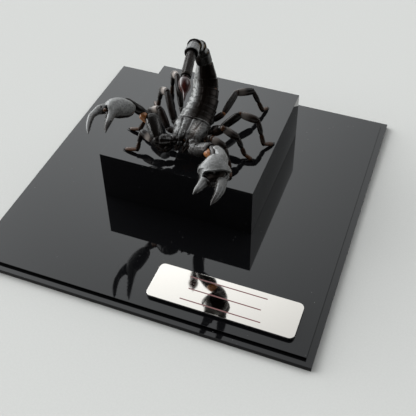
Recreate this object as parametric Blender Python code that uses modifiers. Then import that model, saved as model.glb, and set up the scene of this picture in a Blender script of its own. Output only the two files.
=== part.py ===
"""A dried emperor scorpion set on a glossy black display block.

The block stands on a thin square base of two sheets, with a mirror-finished label plate near
the base's front edge.  Metres, +Z up; the origin is the middle of the base's underside, and
the scorpion faces -Y with its tail arched over its back.

Each piece of the scorpion is a loft: a closed profile carried along a path of joints, because
its sections change from joint to joint.
"""
import math

import bmesh
import bpy
from mathutils import Vector

MM = 0.001
GAP = 0.3 * MM                      # clearance where one piece meets or rests on another

# ---- display: sheets, block and label -------------------------------------------------------
LOWER_SHEET = 212 * MM              # side of the square sheet that everything stands on
LOWER_THICK = 3 * MM
UPPER_SHEET = 204 * MM              # side of the sheet on it, which leaves a ledge all round
UPPER_THICK = 2 * MM
SHEET_EDGE = 0.3 * MM               # polished edges of the sheets
BLOCK_SIDE = 100 * MM
BLOCK_HEIGHT = 35.5 * MM
BLOCK_CENTRE = (-2.9 * MM, 19.9 * MM)
BLOCK_EDGE = 0.5 * MM
LABEL_SIZE = (87.4 * MM, 24.4 * MM)
LABEL_THICK = 2 * MM
LABEL_CENTRE = (49.0 * MM, -83.0 * MM)
LABEL_CORNER = 3.2 * MM

PLATE_TOP = LOWER_THICK + UPPER_THICK
BLOCK_TOP = PLATE_TOP + BLOCK_HEIGHT

# ---- finishes: colour, roughness, metallic ---------------------------------------------------
BLACK_ACRYLIC = ((0.006, 0.006, 0.007), 0.06, 0.0)
MIRROR_LABEL = ((0.86, 0.84, 0.81), 0.08, 1.0)
CUTICLE = ((0.018, 0.017, 0.018), 0.36, 0.0)
TAIL_CUTICLE = ((0.022, 0.020, 0.021), 0.38, 0.0)
STING_BULB = ((0.070, 0.020, 0.016), 0.25, 0.0)
LEG_CUTICLE = ((0.030, 0.020, 0.017), 0.34, 0.0)

# ---- scorpion: places in millimetres, as (x, y, height above the block's top) ----------------
# Body stations from the front of the carapace to the end of the abdomen:
# place, half width, half height above the middle line, half height below it.
CARAPACE = (
    ((-2.0, -15.8, 13.0), 5.5, 2.2, 2.2),
    ((-2.0, -14.4, 13.2), 7.6, 3.4, 3.6),
    ((-2.1, -10.0, 13.3), 9.6, 4.6, 5.4),
    ((-2.4, -4.0, 13.5), 11.0, 5.2, 6.0),
    ((-2.8, 1.2, 13.7), 11.0, 5.2, 6.0),
)
# Abdomen: the curve of its middle line, then its back plates as (length along the line, half
# width at the front, half width at the hind edge).  The last plate narrows towards the tail.
ABDOMEN_LINE = (
    (-2.8, 1.6, 13.8), (-2.6, 6.0, 14.5), (-2.4, 11.0, 16.0), (-2.1, 16.0, 17.8),
    (-2.9, 21.5, 20.2), (-4.3, 27.4, 23.8), (-5.9, 31.6, 29.2), (-7.8, 35.3, 37.8),
)
TERGITES = (
    (3.6, 10.6, 10.8), (4.2, 10.5, 10.6), (5.2, 10.0, 10.0), (5.8, 9.4, 9.4),
    (6.6, 8.8, 8.7), (7.6, 8.2, 8.0), (10.0, 7.4, 4.8),
)
ABDOMEN_HALF_HEIGHT = 5.6
ABDOMEN_END_HALF_HEIGHT = 4.2
TERGITE_STEP = 0.45                 # how far a plate's hind edge stands over the next one

# Tail: joints from the abdomen to the sting bulb, and each segment's half width and height.
TAIL_JOINTS = (
    (-7.9, 35.5, 38.5), (-9.2, 32.6, 46.3), (-8.8, 26.0, 53.8),
    (-7.2, 16.8, 60.5), (-5.8, 6.0, 61.3), (-1.9, -10.3, 58.2),
)
TAIL_HALF_WIDTHS = (4.7, 4.6, 4.4, 3.9, 2.95)
TAIL_HALF_HEIGHTS = (4.3, 4.3, 4.2, 3.9, 3.0)
# Along a segment: share of its length, share of its size.  The hind end flares into a collar.
SEGMENT_PROFILE = ((0.05, 0.74), (0.20, 0.92), (0.60, 0.95), (0.88, 1.06), (0.97, 1.0))

# Sting bulb, then its curved point: places with the radius there.
STING = (
    ((-1.8, -10.8, 58.1), 1.7), ((-1.2, -12.0, 57.7), 2.6), ((-0.5, -13.6, 57.2), 3.3),
    ((0.3, -15.4, 56.6), 3.4), ((1.1, -17.4, 55.8), 2.9), ((1.9, -19.2, 55.1), 1.8),
    ((2.4, -20.8, 54.6), 1.1), ((2.9, -22.6, 53.8), 0.7), ((3.3, -24.3, 52.5), 0.15),
)

# Arms: joints as trochanter root, trochanter end, elbow, wrist; half widths of the segments.
ARM_RIGHT = ((-5.5, -11.5, 12.5), (-9.5, -16.8, 13.6), (-17.0, -22.4, 15.4), (-27.6, -11.2, 23.6))
ARM_LEFT = ((2.0, -12.0, 13.0), (5.2, -17.6, 14.4), (10.4, -28.0, 21.0), (22.4, -32.4, 29.2))
ARM_HALF_WIDTHS = (3.1, 3.9, 4.5)
ARM_HALF_HEIGHTS = (3.1, 3.6, 4.0)
ARM_PROFILE = ((0.04, 0.74), (0.22, 0.96), (0.60, 1.0), (0.88, 0.92), (1.0, 0.70))

# Claws.  A palm is a row of (place, half width, half thickness) from the wrist to the fork; its
# broad face looks towards PALM_UP.  A finger is a row of (place, radius) down to its tip.
PALM_RIGHT = (
    ((-27.8, -11.4, 23.6), 2.2, 2.0), ((-30.4, -12.8, 25.6), 3.4, 3.0),
    ((-34.2, -15.6, 29.0), 5.8, 4.6), ((-38.0, -19.2, 32.2), 7.2, 5.6),
    ((-40.4, -23.6, 34.7), 7.2, 5.5), ((-41.8, -28.2, 36.9), 6.3, 4.8),
    ((-42.0, -32.4, 38.4), 4.5, 3.4),
)
PALM_LEFT = (
    ((22.6, -32.6, 29.2), 2.2, 2.0), ((25.2, -35.0, 29.2), 3.8, 3.8),
    ((28.2, -38.6, 28.6), 6.4, 5.6), ((29.8, -43.2, 27.6), 8.6, 6.4),
    ((30.2, -48.0, 27.0), 9.2, 6.2), ((30.6, -52.2, 27.2), 8.4, 5.2),
    ((31.2, -55.6, 27.6), 6.0, 3.6),
)
PALM_UP_RIGHT = (0.58, 0.20, 0.79)
PALM_UP_LEFT = (-0.12, 0.02, 0.99)
FINGER_FIXED_RIGHT = (
    ((-39.4, -30.4, 36.8), 2.9), ((-37.8, -35.6, 37.8), 2.4), ((-36.4, -41.0, 39.0), 2.1),
    ((-34.8, -46.4, 40.2), 1.6), ((-33.0, -51.4, 40.8), 0.3),
)
FINGER_MOVING_RIGHT = (
    ((-45.2, -27.4, 37.0), 2.5), ((-47.2, -33.0, 38.2), 2.2), ((-47.8, -39.4, 39.4), 2.0),
    ((-46.2, -46.4, 39.8), 1.7), ((-44.2, -51.0, 39.8), 1.2), ((-42.4, -54.4, 39.6), 0.3),
)
FINGER_FIXED_LEFT = (
    ((27.4, -54.0, 27.0), 2.9), ((27.0, -58.3, 27.5), 2.3), ((26.4, -62.8, 28.0), 1.9),
    ((25.6, -68.4, 28.5), 0.3),
)
FINGER_MOVING_LEFT = (
    ((36.6, -53.2, 27.5), 3.2), ((37.6, -57.6, 27.8), 2.8), ((38.0, -62.6, 28.0), 2.3),
    ((37.6, -67.6, 27.9), 1.6), ((37.0, -72.0, 28.0), 0.3),
)

# Legs: root in the body, trochanter end, knee, shin top, ankle, toe.
LEGS = {
    "leg_left_1": ((5, -7, 11.0), (9.6, -8.2, 12.6), (14.2, -9.6, 16.0), (23.2, -12, 13.8),
                   (28.2, -17.2, 3.0), (30.2, -22.3, 0.9)),
    "leg_left_2": ((5, 0, 9.6), (11.1, 0.6, 10.8), (18.8, -3.3, 20.5), (27.2, -0.6, 13.3),
                   (32.6, -2.6, 3.0), (37.4, -3.2, 0.9)),
    "leg_left_3": ((5, 4.6, 9.4), (13.9, 6.2, 11.6), (24.0, 13.6, 20.0), (35.2, 14.3, 17.6),
                   (40.6, 10.4, 3.0), (45.0, 15.2, 0.9)),
    "leg_left_4": ((4, 9, 9.8), (11.6, 16.8, 14.4), (14.1, 33.6, 19.5), (22.5, 42.8, 16.7),
                   (29.7, 42.1, 3.0), (31.1, 48.2, 0.9)),
    "leg_right_1": ((-8, -12, 8.6), (-13.6, -18.3, 5.6), (-22.5, -16.4, 9.6),
                    (-31.4, -12.9, 10.5), (-31.2, -20.8, 2.6), (-39.2, -20.8, 0.9)),
    "leg_right_2": ((-9, -5, 9.6), (-17.4, -4.0, 10.2), (-25.0, 1.5, 20.0), (-33.0, 3.2, 14.4),
                    (-37.9, -2.6, 2.6), (-44.9, -2.2, 0.9)),
    "leg_right_3": ((-9, 2, 9.6), (-16.8, 3.4, 10.6), (-25.1, 14.2, 24.2), (-32.4, 20.8, 18.6),
                    (-36.4, 22.3, 3.0), (-41.2, 28.4, 0.9)),
    "leg_right_4": ((-9, 8, 9.8), (-15.8, 14.0, 13.4), (-24.4, 29.2, 26.0), (-31.4, 38.2, 20.0),
                    (-33.2, 38.0, 3.0), (-35.2, 43.6, 0.9)),
}
LEG_HALF_WIDTHS = (1.9, 1.85, 1.85, 1.05, 0.8)
LEG_HALF_HEIGHTS = (2.2, 2.4, 2.4, 1.15, 0.8)
LEG_PROFILE = ((0.05, 0.70), (0.24, 0.96), (0.62, 1.0), (0.90, 0.82))

FINGER_FLATNESS = 0.85              # a finger's width across, as a share of its height

# Corners of a ring in each kind of loft.
BODY_SIDES = 20
TAIL_SIDES = 14
STING_SIDES = 10
ARM_SIDES = 12
PALM_SIDES = 14
LEG_SIDES = 8


def place(point):
    """Millimetres over the block's top, as a point of the part in metres."""
    return Vector((point[0] * MM, point[1] * MM, BLOCK_TOP + point[2] * MM))


def clear_scene():
    for thing in list(bpy.data.objects):
        bpy.data.objects.remove(thing, do_unlink=True)


def collection(name):
    group = bpy.data.collections.new(name)
    bpy.context.scene.collection.children.link(group)
    return group


def finish(thing, name, look):
    """Gives an object its own Principled material."""
    colour, roughness, metallic = look
    made = bpy.data.materials.new(name)
    made.use_nodes = True
    shader = made.node_tree.nodes["Principled BSDF"]
    shader.inputs["Base Color"].default_value = (*colour, 1.0)
    shader.inputs["Roughness"].default_value = roughness
    shader.inputs["Metallic"].default_value = metallic
    made.diffuse_color = (*colour, 1.0)
    thing.data.materials.clear()
    thing.data.materials.append(made)


def object_from(bm, name, group):
    bmesh.ops.recalc_face_normals(bm, faces=bm.faces)
    mesh = bpy.data.meshes.new(name)
    bm.to_mesh(mesh)
    bm.free()
    thing = bpy.data.objects.new(name, mesh)
    group.objects.link(thing)
    return thing


def slab(name, size, centre, low, group, edge):
    """A box standing at height low, with its edges polished round."""
    bm = bmesh.new()
    bmesh.ops.create_cube(bm, size=1.0)
    bmesh.ops.scale(bm, vec=size, verts=bm.verts)
    thing = object_from(bm, name, group)
    thing.location = (centre[0], centre[1], low + size[2] / 2)
    bevel = thing.modifiers.new("polished edges", "BEVEL")
    bevel.width = edge
    bevel.segments = 2
    return thing


def rounded_plate(name, size, thickness, corner, centre, low, group):
    """A flat plate whose outline is a rectangle with arcs at its corners."""
    steps = 6
    outline = []
    for quarter in range(4):
        turn = quarter * math.pi / 2
        across = size[0] / 2 - corner if quarter in (0, 3) else corner - size[0] / 2
        along = size[1] / 2 - corner if quarter in (0, 1) else corner - size[1] / 2
        for step in range(steps + 1):
            angle = turn + step / steps * math.pi / 2
            outline.append((across + corner * math.cos(angle), along + corner * math.sin(angle)))
    curve = bpy.data.curves.new(name + "_outline", "CURVE")
    curve.dimensions = "2D"
    curve.fill_mode = "BOTH"
    curve.extrude = thickness / 2
    spline = curve.splines.new("POLY")
    spline.points.add(len(outline) - 1)
    for point, (x, y) in zip(spline.points, outline):
        point.co = (x, y, 0, 1)
    spline.use_cyclic_u = True
    guide = bpy.data.objects.new(name + "_outline", curve)
    guide.location = (centre[0], centre[1], low + thickness / 2)
    group.objects.link(guide)
    bpy.context.view_layer.update()
    mesh = bpy.data.meshes.new_from_object(guide.evaluated_get(bpy.context.evaluated_depsgraph_get()))
    bm = bmesh.new()
    bm.from_mesh(mesh)
    bmesh.ops.remove_doubles(bm, verts=bm.verts, dist=0.01 * MM)
    bpy.data.meshes.remove(mesh)
    thing = object_from(bm, name, group)
    thing.matrix_world = guide.matrix_world
    bpy.data.objects.remove(guide, do_unlink=True)
    return thing


def smooth_line(points, steps):
    """Catmull-Rom curve through the points, with steps pieces between each pair."""
    ends = [2 * points[0] - points[1], *points, 2 * points[-1] - points[-2]]
    line = []
    for a, b, c, d in zip(ends, ends[1:], ends[2:], ends[3:]):
        for step in range(steps):
            t = step / steps
            line.append(0.5 * (2 * b + (c - a) * t + (2 * a - 5 * b + 4 * c - d) * t * t
                               + (3 * b - a - 3 * c + d) * t ** 3))
    line.append(points[-1])
    return line


def along(line, distance):
    """The point at a distance along a line of points."""
    for a, b in zip(line, line[1:]):
        step = (b - a).length
        if distance <= step or b is line[-1]:
            return a + (b - a) * (distance / step)
        distance -= step


def tangents(points):
    """The direction of the path at each point, halfway between its two neighbours' directions."""
    steps = [(b - a).normalized() for a, b in zip(points, points[1:])]
    inner = [(a + b).normalized() for a, b in zip(steps, steps[1:])]
    return [steps[0], *inner, steps[-1]]


def loft(stations, sides, up_hint):
    """A closed mesh through rings; a station is (point, half width, half up, half down).

    Each ring is an oval square to the path.  The first ring's height lies along up_hint, and the
    following rings turn only as far as the path does.  Flat caps close the ends.
    """
    bm = bmesh.new()
    rings = []
    directions = tangents([station[0] for station in stations])
    across = directions[0].cross(Vector(up_hint))
    for (centre, half_width, half_up, half_down), direction in zip(stations, directions):
        across = (across - direction * across.dot(direction)).normalized()
        up = across.cross(direction)
        ring = []
        for side in range(sides):
            angle = 2 * math.pi * side / sides
            height = math.sin(angle) * (half_up if math.sin(angle) > 0 else half_down)
            ring.append(bm.verts.new(centre + across * math.cos(angle) * half_width + up * height))
        rings.append(ring)
    for ring, following in zip(rings, rings[1:]):
        for side in range(sides):
            turn = (side + 1) % sides
            bm.faces.new((ring[side], ring[turn], following[turn], following[side]))
    bm.faces.new(rings[0])
    bm.faces.new(rings[-1])
    return bm


def ring_stations(joints, half_widths, half_heights, profile, grow=0.0):
    """Stations of a jointed limb: the profile is repeated along each segment."""
    stations = []
    for start, end, half_width, half_height in zip(joints, joints[1:], half_widths, half_heights):
        for share, size in profile:
            stations.append((start.lerp(end, share), half_width * size * MM + grow,
                             half_height * size * MM + grow, half_height * size * MM + grow))
    return stations


def body_stations(grow=0.0):
    """The carapace's stations, then two for each back plate of the abdomen."""
    stations = [(place(spot), (w * MM) + grow, (up * MM) + grow, (down * MM) + grow)
                for spot, w, up, down in CARAPACE]
    line = smooth_line([place(spot) for spot in ABDOMEN_LINE], 6)
    length = sum((b - a).length for a, b in zip(line, line[1:]))
    total = sum(plate for plate, _, _ in TERGITES)
    done = 0.0
    for plate, front, hind in TERGITES:
        for share, half_width, step in ((0.14, front, 0.0), (0.90, hind, TERGITE_STEP)):
            spot = (done + share * plate) / total
            height = ABDOMEN_HALF_HEIGHT + (ABDOMEN_END_HALF_HEIGHT - ABDOMEN_HALF_HEIGHT) * spot ** 2
            stations.append((along(line, spot * length), half_width * MM + grow,
                             (height + step) * MM + grow, height * MM + grow))
        done += plate
    stations.append((line[-1], TERGITES[-1][2] * 0.85 * MM + grow,
                     ABDOMEN_END_HALF_HEIGHT * 0.85 * MM + grow,
                     ABDOMEN_END_HALF_HEIGHT * 0.85 * MM + grow))
    return stations


def union(target, tools):
    """Joins closed bodies that overlap into one."""
    for tool in tools:
        cut(target, tool, "UNION")


def cut(target, tool, kind):
    step = target.modifiers.new(kind.lower(), "BOOLEAN")
    step.operation = kind
    step.object = tool
    step.solver = "EXACT"


def guide_object(tool):
    tool.hide_render = True
    tool.display_type = "WIRE"


def build_display(parts):
    lower = slab("base_lower_sheet", (LOWER_SHEET, LOWER_SHEET, LOWER_THICK), (0, 0), 0,
                 parts, SHEET_EDGE)
    upper = slab("base_upper_sheet", (UPPER_SHEET, UPPER_SHEET, UPPER_THICK - GAP), (0, 0),
                 LOWER_THICK + GAP, parts, SHEET_EDGE)
    block = slab("display_block", (BLOCK_SIDE, BLOCK_SIDE, BLOCK_HEIGHT - GAP), BLOCK_CENTRE,
                 PLATE_TOP + GAP, parts, BLOCK_EDGE)
    label = rounded_plate("label_plate", LABEL_SIZE, LABEL_THICK, LABEL_CORNER, LABEL_CENTRE,
                          PLATE_TOP + GAP, parts)
    for thing in (lower, upper, block):
        finish(thing, thing.name, BLACK_ACRYLIC)
    finish(label, label.name, MIRROR_LABEL)


def build_body(parts):
    body = object_from(loft(body_stations(), BODY_SIDES, (0, -0.35, 1)), "scorpion_body", parts)
    finish(body, body.name, CUTICLE)
    return body


def build_tail(parts, body_cutter):
    joints = [place(spot) for spot in TAIL_JOINTS]
    stations = ring_stations(joints, TAIL_HALF_WIDTHS, TAIL_HALF_HEIGHTS, SEGMENT_PROFILE)
    tail = object_from(loft(stations, TAIL_SIDES, (0, -1, 0)), "tail", parts)
    cut(tail, body_cutter, "DIFFERENCE")
    finish(tail, tail.name, TAIL_CUTICLE)
    bulb = [(place(spot), radius * MM, radius * MM, radius * MM) for spot, radius in STING]
    telson = object_from(loft(bulb, STING_SIDES, (0, 0, 1)), "telson", parts)
    finish(telson, telson.name, STING_BULB)


def finger(name, rows, group, up_hint):
    """A curved finger, a little thinner across than along up_hint."""
    points = smooth_line([place(spot) for spot, _ in rows], 2)
    radii = [radius * MM for _, radius in rows]
    between = [(a + b) / 2 for a, b in zip(radii, radii[1:])]
    sizes = [size for pair in zip(radii, between) for size in pair] + [radii[-1]]
    stations = [(spot, size * FINGER_FLATNESS, size, size) for spot, size in zip(points, sizes)]
    return object_from(loft(stations, LEG_SIDES, up_hint), name, group)


def build_pincer(name, arm, palm, fixed, moving, up_hint, parts, cutters, body_cutter):
    joints = [place(spot) for spot in arm]
    stations = ring_stations(joints, ARM_HALF_WIDTHS, ARM_HALF_HEIGHTS, ARM_PROFILE)
    pincer = object_from(loft(stations, ARM_SIDES, (0, 0, 1)), name, parts)
    hand = [(place(spot), wide * MM, thick * MM, thick * MM) for spot, wide, thick in palm]
    tools = [object_from(loft(hand, PALM_SIDES, up_hint), name + "_palm", cutters),
             finger(name + "_fixed_finger", fixed, cutters, up_hint),
             finger(name + "_moving_finger", moving, cutters, up_hint)]
    for tool in tools:
        guide_object(tool)
    union(pincer, tools)
    cut(pincer, body_cutter, "DIFFERENCE")
    finish(pincer, name, CUTICLE)


def build_leg(name, joints, parts, body_cutter):
    points = [place(spot) for spot in joints]
    stations = ring_stations(points, LEG_HALF_WIDTHS, LEG_HALF_HEIGHTS, LEG_PROFILE)
    stations.append((points[-1], 0.5 * MM, 0.5 * MM, 0.5 * MM))
    leg = object_from(loft(stations, LEG_SIDES, (0, 0, 1)), name, parts)
    cut(leg, body_cutter, "DIFFERENCE")
    finish(leg, name, LEG_CUTICLE)


def main():
    clear_scene()
    parts = collection("mounted_scorpion")
    cutters = collection("cutters")
    build_display(parts)
    build_body(parts)
    body_cutter = object_from(loft(body_stations(GAP), BODY_SIDES, (0, -0.35, 1)),
                              "body_clearance", cutters)
    guide_object(body_cutter)
    build_tail(parts, body_cutter)
    build_pincer("pincer_right", ARM_RIGHT, PALM_RIGHT, FINGER_FIXED_RIGHT, FINGER_MOVING_RIGHT,
                 PALM_UP_RIGHT, parts, cutters, body_cutter)
    build_pincer("pincer_left", ARM_LEFT, PALM_LEFT, FINGER_FIXED_LEFT, FINGER_MOVING_LEFT,
                 PALM_UP_LEFT, parts, cutters, body_cutter)
    for name, joints in LEGS.items():
        build_leg(name, joints, parts, body_cutter)


main()
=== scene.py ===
"""Looks of a dried emperor scorpion on its black display block.

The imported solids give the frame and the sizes.  Each one is replaced by surfaces worked out with
numpy: slabs with rounded edges for the sheets, the block and the label plate, and for the animal
plates, jointed segments with keels and grains, claws with teeth, and hairs.
Places are in millimetres, as (x, y, height above the block's top), unless metres are named.
"""

import math

import bpy
import numpy as np
from mathutils import Matrix, Vector


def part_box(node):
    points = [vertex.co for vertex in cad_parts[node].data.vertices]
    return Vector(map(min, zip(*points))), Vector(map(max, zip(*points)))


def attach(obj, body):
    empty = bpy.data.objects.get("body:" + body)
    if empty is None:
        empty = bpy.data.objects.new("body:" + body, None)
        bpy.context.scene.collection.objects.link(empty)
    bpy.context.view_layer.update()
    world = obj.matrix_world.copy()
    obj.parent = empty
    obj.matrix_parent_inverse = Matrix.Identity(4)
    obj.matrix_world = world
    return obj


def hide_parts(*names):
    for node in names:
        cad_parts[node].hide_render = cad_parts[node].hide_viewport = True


bl_info = {
    "name": "Mounted scorpion display",
    "version": (1, 0, 0),
    "blender": (4, 5, 0),
    "location": "3D View > Sidebar > Scorpion",
    "description": "Builds the finishes and fine surfaces of a scorpion on a display block",
    "category": "Add Mesh",
}

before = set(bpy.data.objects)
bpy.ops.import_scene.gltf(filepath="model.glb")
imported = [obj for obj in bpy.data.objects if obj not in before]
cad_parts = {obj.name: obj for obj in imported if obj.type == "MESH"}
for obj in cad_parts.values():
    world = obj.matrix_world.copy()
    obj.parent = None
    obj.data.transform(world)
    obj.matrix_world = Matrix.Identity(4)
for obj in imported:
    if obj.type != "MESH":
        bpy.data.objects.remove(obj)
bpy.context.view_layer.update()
MM = 0.001
BLOCK_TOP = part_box("display_block")[1].z / MM
ACROSS = (1, 0, 0)                  # the animal's left
DARK_DULL = 1.7                     # the mark of surfaces that are dark and nearly all dull

# ---- body ------------------------------------------------------------------------------------
BODY_X = -2.3                       # the body's middle plane, where it is straight
# Carapace, front to back: y, middle x, height of the middle line, half width, rise over the line.
CARAPACE_ROWS = (
    (-16.6, -2.0, 13.0, 5.6, 1.9), (-14.6, -2.0, 13.2, 7.5, 3.3), (-10.0, -2.1, 13.3, 9.5, 4.7),
    (-4.0, -2.4, 13.5, 11.0, 5.3), (2.2, -2.8, 13.8, 11.2, 5.5),
)
ABDOMEN_LINE = (
    (-2.8, 1.6, 13.8), (-2.6, 6.0, 14.5), (-2.4, 11.0, 16.0), (-2.1, 16.0, 17.8),
    (-2.9, 21.5, 20.2), (-4.3, 27.4, 23.8), (-5.9, 31.6, 29.2), (-7.8, 35.3, 37.8),
)
# Back plates: length along the line, half width at the front, half width at the hind edge.
TERGITES = (
    (3.6, 10.6, 10.8), (4.2, 10.5, 10.6), (5.2, 10.0, 10.0), (5.8, 9.4, 9.4),
    (6.6, 8.8, 8.7), (7.6, 8.3, 8.1), (10.0, 7.8, 5.3),
)
# Half heights at three distances along the line, of the back plates and of the belly plates.
HEIGHTS_AT = (0, 34, 43)
BACK_HALF_HEIGHTS = (5.6, 5.4, 4.5)
BELLY_HALF_HEIGHTS = (5.45, 5.35, 4.8)
FLANK_ROWS = (                      # the flanks' skin: place, half width, half height
    (-2.0, -14.6, 12.4, 5.0, 2.5), (-2.1, -10, 12.2, 8.3, 3.9), (-2.4, -4, 12.3, 9.8, 4.7),
    (-2.8, 1.6, 12.8, 10.2, 5.0), (-2.6, 6, 13.9, 10.0, 5.1), (-2.4, 11, 15.5, 9.7, 5.2),
    (-2.1, 16, 17.3, 9.1, 5.2), (-2.9, 21.5, 19.8, 8.4, 5.1), (-4.3, 27.4, 23.6, 7.8, 5.0),
    (-5.9, 31.6, 29.0, 6.7, 4.8), (-7.5, 34.4, 35.6, 4.3, 3.9),
)
COMB_ROWS = (                       # distance from the middle, y, height, half width, half height
    (1.0, 2.2, 8.0, 1.1, 0.6), (4.2, 5.0, 8.2, 1.0, 0.5), (8.0, 7.6, 9.0, 0.6, 0.4),
)
EYES_AT = 0.40                      # share of the carapace where its eye hill is
SIDE_EYES = ((8, 20), (12, 16), (16, 14))       # rows and columns of the carapace's grid
JAWS_X = -2.0

# ---- tail ------------------------------------------------------------------------------------
TAIL_JOINTS = (
    (-7.8, 35.0, 37.0), (-9.0, 33.2, 45.6), (-8.9, 28.3, 53.2),
    (-7.9, 19.4, 59.3), (-5.8, 9.6, 60.7), (-1.3, -10.3, 58.2),
)
# Keels, here and below: degrees from above, height, spread in degrees.
TAIL_KEELS = ((30, 0.22, 7), (66, 0.14, 5), (103, 0.16, 5), (140, 0.20, 6), (168, 0.18, 6))
LAST_TAIL_KEELS = ((35, 0.26, 8), (90, 0.28, 7), (140, 0.30, 8), (176, 0.25, 7))
# Segments: half width and height behind, their share in front, keels, height of the grains, and
# amounts of the painted highlight and of the dull finish.
TAIL_SEGMENTS = (
    (5.0, 4.6, 1.12, TAIL_KEELS, 0.03, 0, 0), (4.7, 4.4, 0.97, TAIL_KEELS, 0.03, 0, 0),
    (4.5, 4.2, 0.97, TAIL_KEELS, 0.03, 0.1, 0), (4.1, 3.7, 0.97, TAIL_KEELS, 0.05, 0.7, 0),
    (2.95, 3.0, 0.97, LAST_TAIL_KEELS, 0.20, 0, 0.9),
)
STING_ROWS = (                      # place and radius, bulb first
    (-1.9, -10.5, 58.2, 1.5), (-1.5, -11.4, 57.9, 2.4), (-0.9, -12.8, 57.5, 3.2),
    (-0.1, -14.6, 56.9, 3.5), (0.7, -16.6, 56.1, 3.2), (1.6, -18.6, 55.4, 2.1),
    (2.2, -20.2, 54.9, 1.2), (2.7, -21.8, 54.3, 0.8), (3.1, -23.2, 53.5, 0.5),
    (3.3, -24.3, 52.4, 0.08),
)

# ---- arms and claws --------------------------------------------------------------------------
ARMS = {                            # trochanter root, trochanter end, elbow, wrist
    "right": ((-5.5, -11.5, 12.5), (-9.5, -16.8, 13.6), (-16.4, -21.0, 15.4), (-25.6, -9.6, 23.0)),
    "left": ((2.0, -12.0, 13.0), (5.2, -17.6, 14.4), (10.4, -28.0, 21.0), (22.4, -32.4, 29.2)),
}
ARM_SEGMENTS = (                    # half width, half height, keels, height of the grains
    (3.1, 3.1, ((40, 0.10, 12),), 0.06),
    (3.9, 3.6, ((38, 0.24, 8), (128, 0.22, 8), (84, 0.08, 8)), 0.08),
    (4.4, 3.8, ((34, 0.16, 7), (92, 0.12, 7), (146, 0.16, 7)), 0.14),
)
ARM_DULL = {"right": (0.35, 0.25, 0.35), "left": (0.35, 0.25, 0.65)}   # amount, for each segment
PALMS = {                           # palm and fixed finger: place, half width, half thickness
    "right": (
        (-33.6, -15.4, 28.6, 1.6, 1.6), (-34.6, -16.0, 29.5, 3.7, 3.3),
        (-36.6, -17.8, 31.1, 5.4, 4.6), (-39.2, -21.4, 33.8, 6.4, 5.2),
        (-40.9, -25.6, 36.0, 6.2, 5.0), (-40.9, -29.4, 37.1, 4.8, 4.1),
        (-39.5, -33.2, 37.6, 3.0, 2.9), (-38.0, -37.4, 38.3, 2.2, 2.1),
        (-36.5, -42.2, 39.2, 1.75, 1.6), (-35.0, -46.8, 40.2, 1.25, 1.1),
        (-33.0, -51.4, 40.8, 0.3, 0.3),
    ),
    "left": (
        (23.0, -31.4, 29.6, 2.6, 2.6), (27.4, -34.2, 29.6, 3.3, 3.3),
        (30.2, -38.0, 29.2, 4.0, 4.6), (29.6, -42.0, 28.6, 7.0, 6.0),
        (29.8, -46.8, 27.5, 9.4, 6.3), (29.6, -51.2, 27.2, 8.5, 5.3),
        (28.3, -54.6, 27.2, 5.2, 3.9), (27.3, -57.4, 27.4, 3.0, 2.8),
        (26.8, -60.6, 27.8, 2.25, 2.0), (26.3, -64.2, 28.2, 1.75, 1.5),
        (25.6, -68.4, 28.5, 0.2, 0.2),
    ),
}
FINGER_STARTS = {"right": 0.56, "left": 0.60}   # share of the rows where the palm becomes a finger
PALM_UP = {"right": (0.58, 0.20, 0.79), "left": (-0.12, 0.02, 0.99)}
PALM_ROOTS = {                      # the smooth cone behind the palm, painted dark and dull as shade: place and radius
    "right": ((-26.6, -9.0, 22.0, 1.8), (-30.2, -10.2, 24.2, 2.4), (-33.0, -11.2, 26.8, 3.0),
              (-36.2, -12.0, 30.4, 2.3), (-38.6, -12.6, 33.4, 1.4), (-40.0, -13.2, 35.0, 0.1)),
    "left": ((21.6, -31.6, 29.2, 2.0), (23.8, -33.4, 29.4, 2.5), (26.2, -35.8, 29.4, 2.9),
             (28.0, -38.4, 29.0, 2.0), (29.0, -40.4, 28.6, 0.3)),
}
# The lip over the moving finger's root: share of the palm's rows, middle angle, half its spread,
# and how much the share changes with the angle.  A hollow lies under it.
LIPS = {"right": (0.50, 0.2, 0.3, 0.0), "left": (0.44, 2.35, 1.25, -0.09)}
HOLLOW_DEPTH = 2.8
FIXED_FINGER_ROWS = 5               # how many of a palm's rows, at its end, are its fixed finger
HOLLOW_END = 0.61                   # share of the rows where the hollow ends
DARK_TIPS = {"right": 0.76, "left": 0.95}       # share where the fixed finger turns dark
SHADED_UNDERSIDES = {"right": (3.52, 0.60), "left": (4.60, 0.80)}  # middle angle and spread of the painted shade underneath
HIGHLIGHT_RIMS = {"right": 0.78, "left": 3.30}            # angle of the rim painted grey as a highlight
PALM_WEAR_AND_SHEEN = {"right": 0.36, "left": 0.20}       # how much greyer the palm is than the finger: wear and painted sheen
MOVING_FINGERS = {
    "right": (
        (-44.6, -27.0, 37.0, 2.7), (-46.6, -31.8, 38.6, 2.9), (-47.6, -36.0, 39.1, 2.1),
        (-47.9, -40.2, 39.6, 1.9), (-46.2, -46.6, 39.8, 1.55), (-44.2, -51.2, 39.8, 1.1),
        (-42.4, -54.6, 39.6, 0.25),
    ),
    "left": (
        (36.0, -52.2, 27.4, 2.8), (37.4, -57.6, 27.8, 2.8), (38.0, -62.6, 28.0, 2.2),
        (37.6, -67.6, 27.9, 1.5), (37.0, -72.0, 28.0, 0.2),
    ),
}
FINGER_SKINS = {                    # skin at the moving finger's root: place, radius, softness
    "right": ((-43.5, -32.3, 39.2), 1.3, 0.6),
    "left": ((35.0, -52.2, 26.8), 2.4, 0.3),
}
WRIST_SKINS = {                     # the folded skin of each wrist: place and radius
    "right": ((-31.0, -12.0, 24.8, 1.6), (-29.8, -12.2, 23.8, 2.6), (-28.4, -12.9, 22.3, 2.2),
              (-27.2, -13.8, 20.9, 1.3), (-26.5, -14.3, 19.8, 0.3)),
    "left": ((18.4, -33.0, 27.6, 0.8), (20.2, -33.8, 27.6, 2.6), (23.0, -34.2, 27.8, 3.0),
             (25.8, -34.6, 28.2, 2.2)),
}
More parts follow.
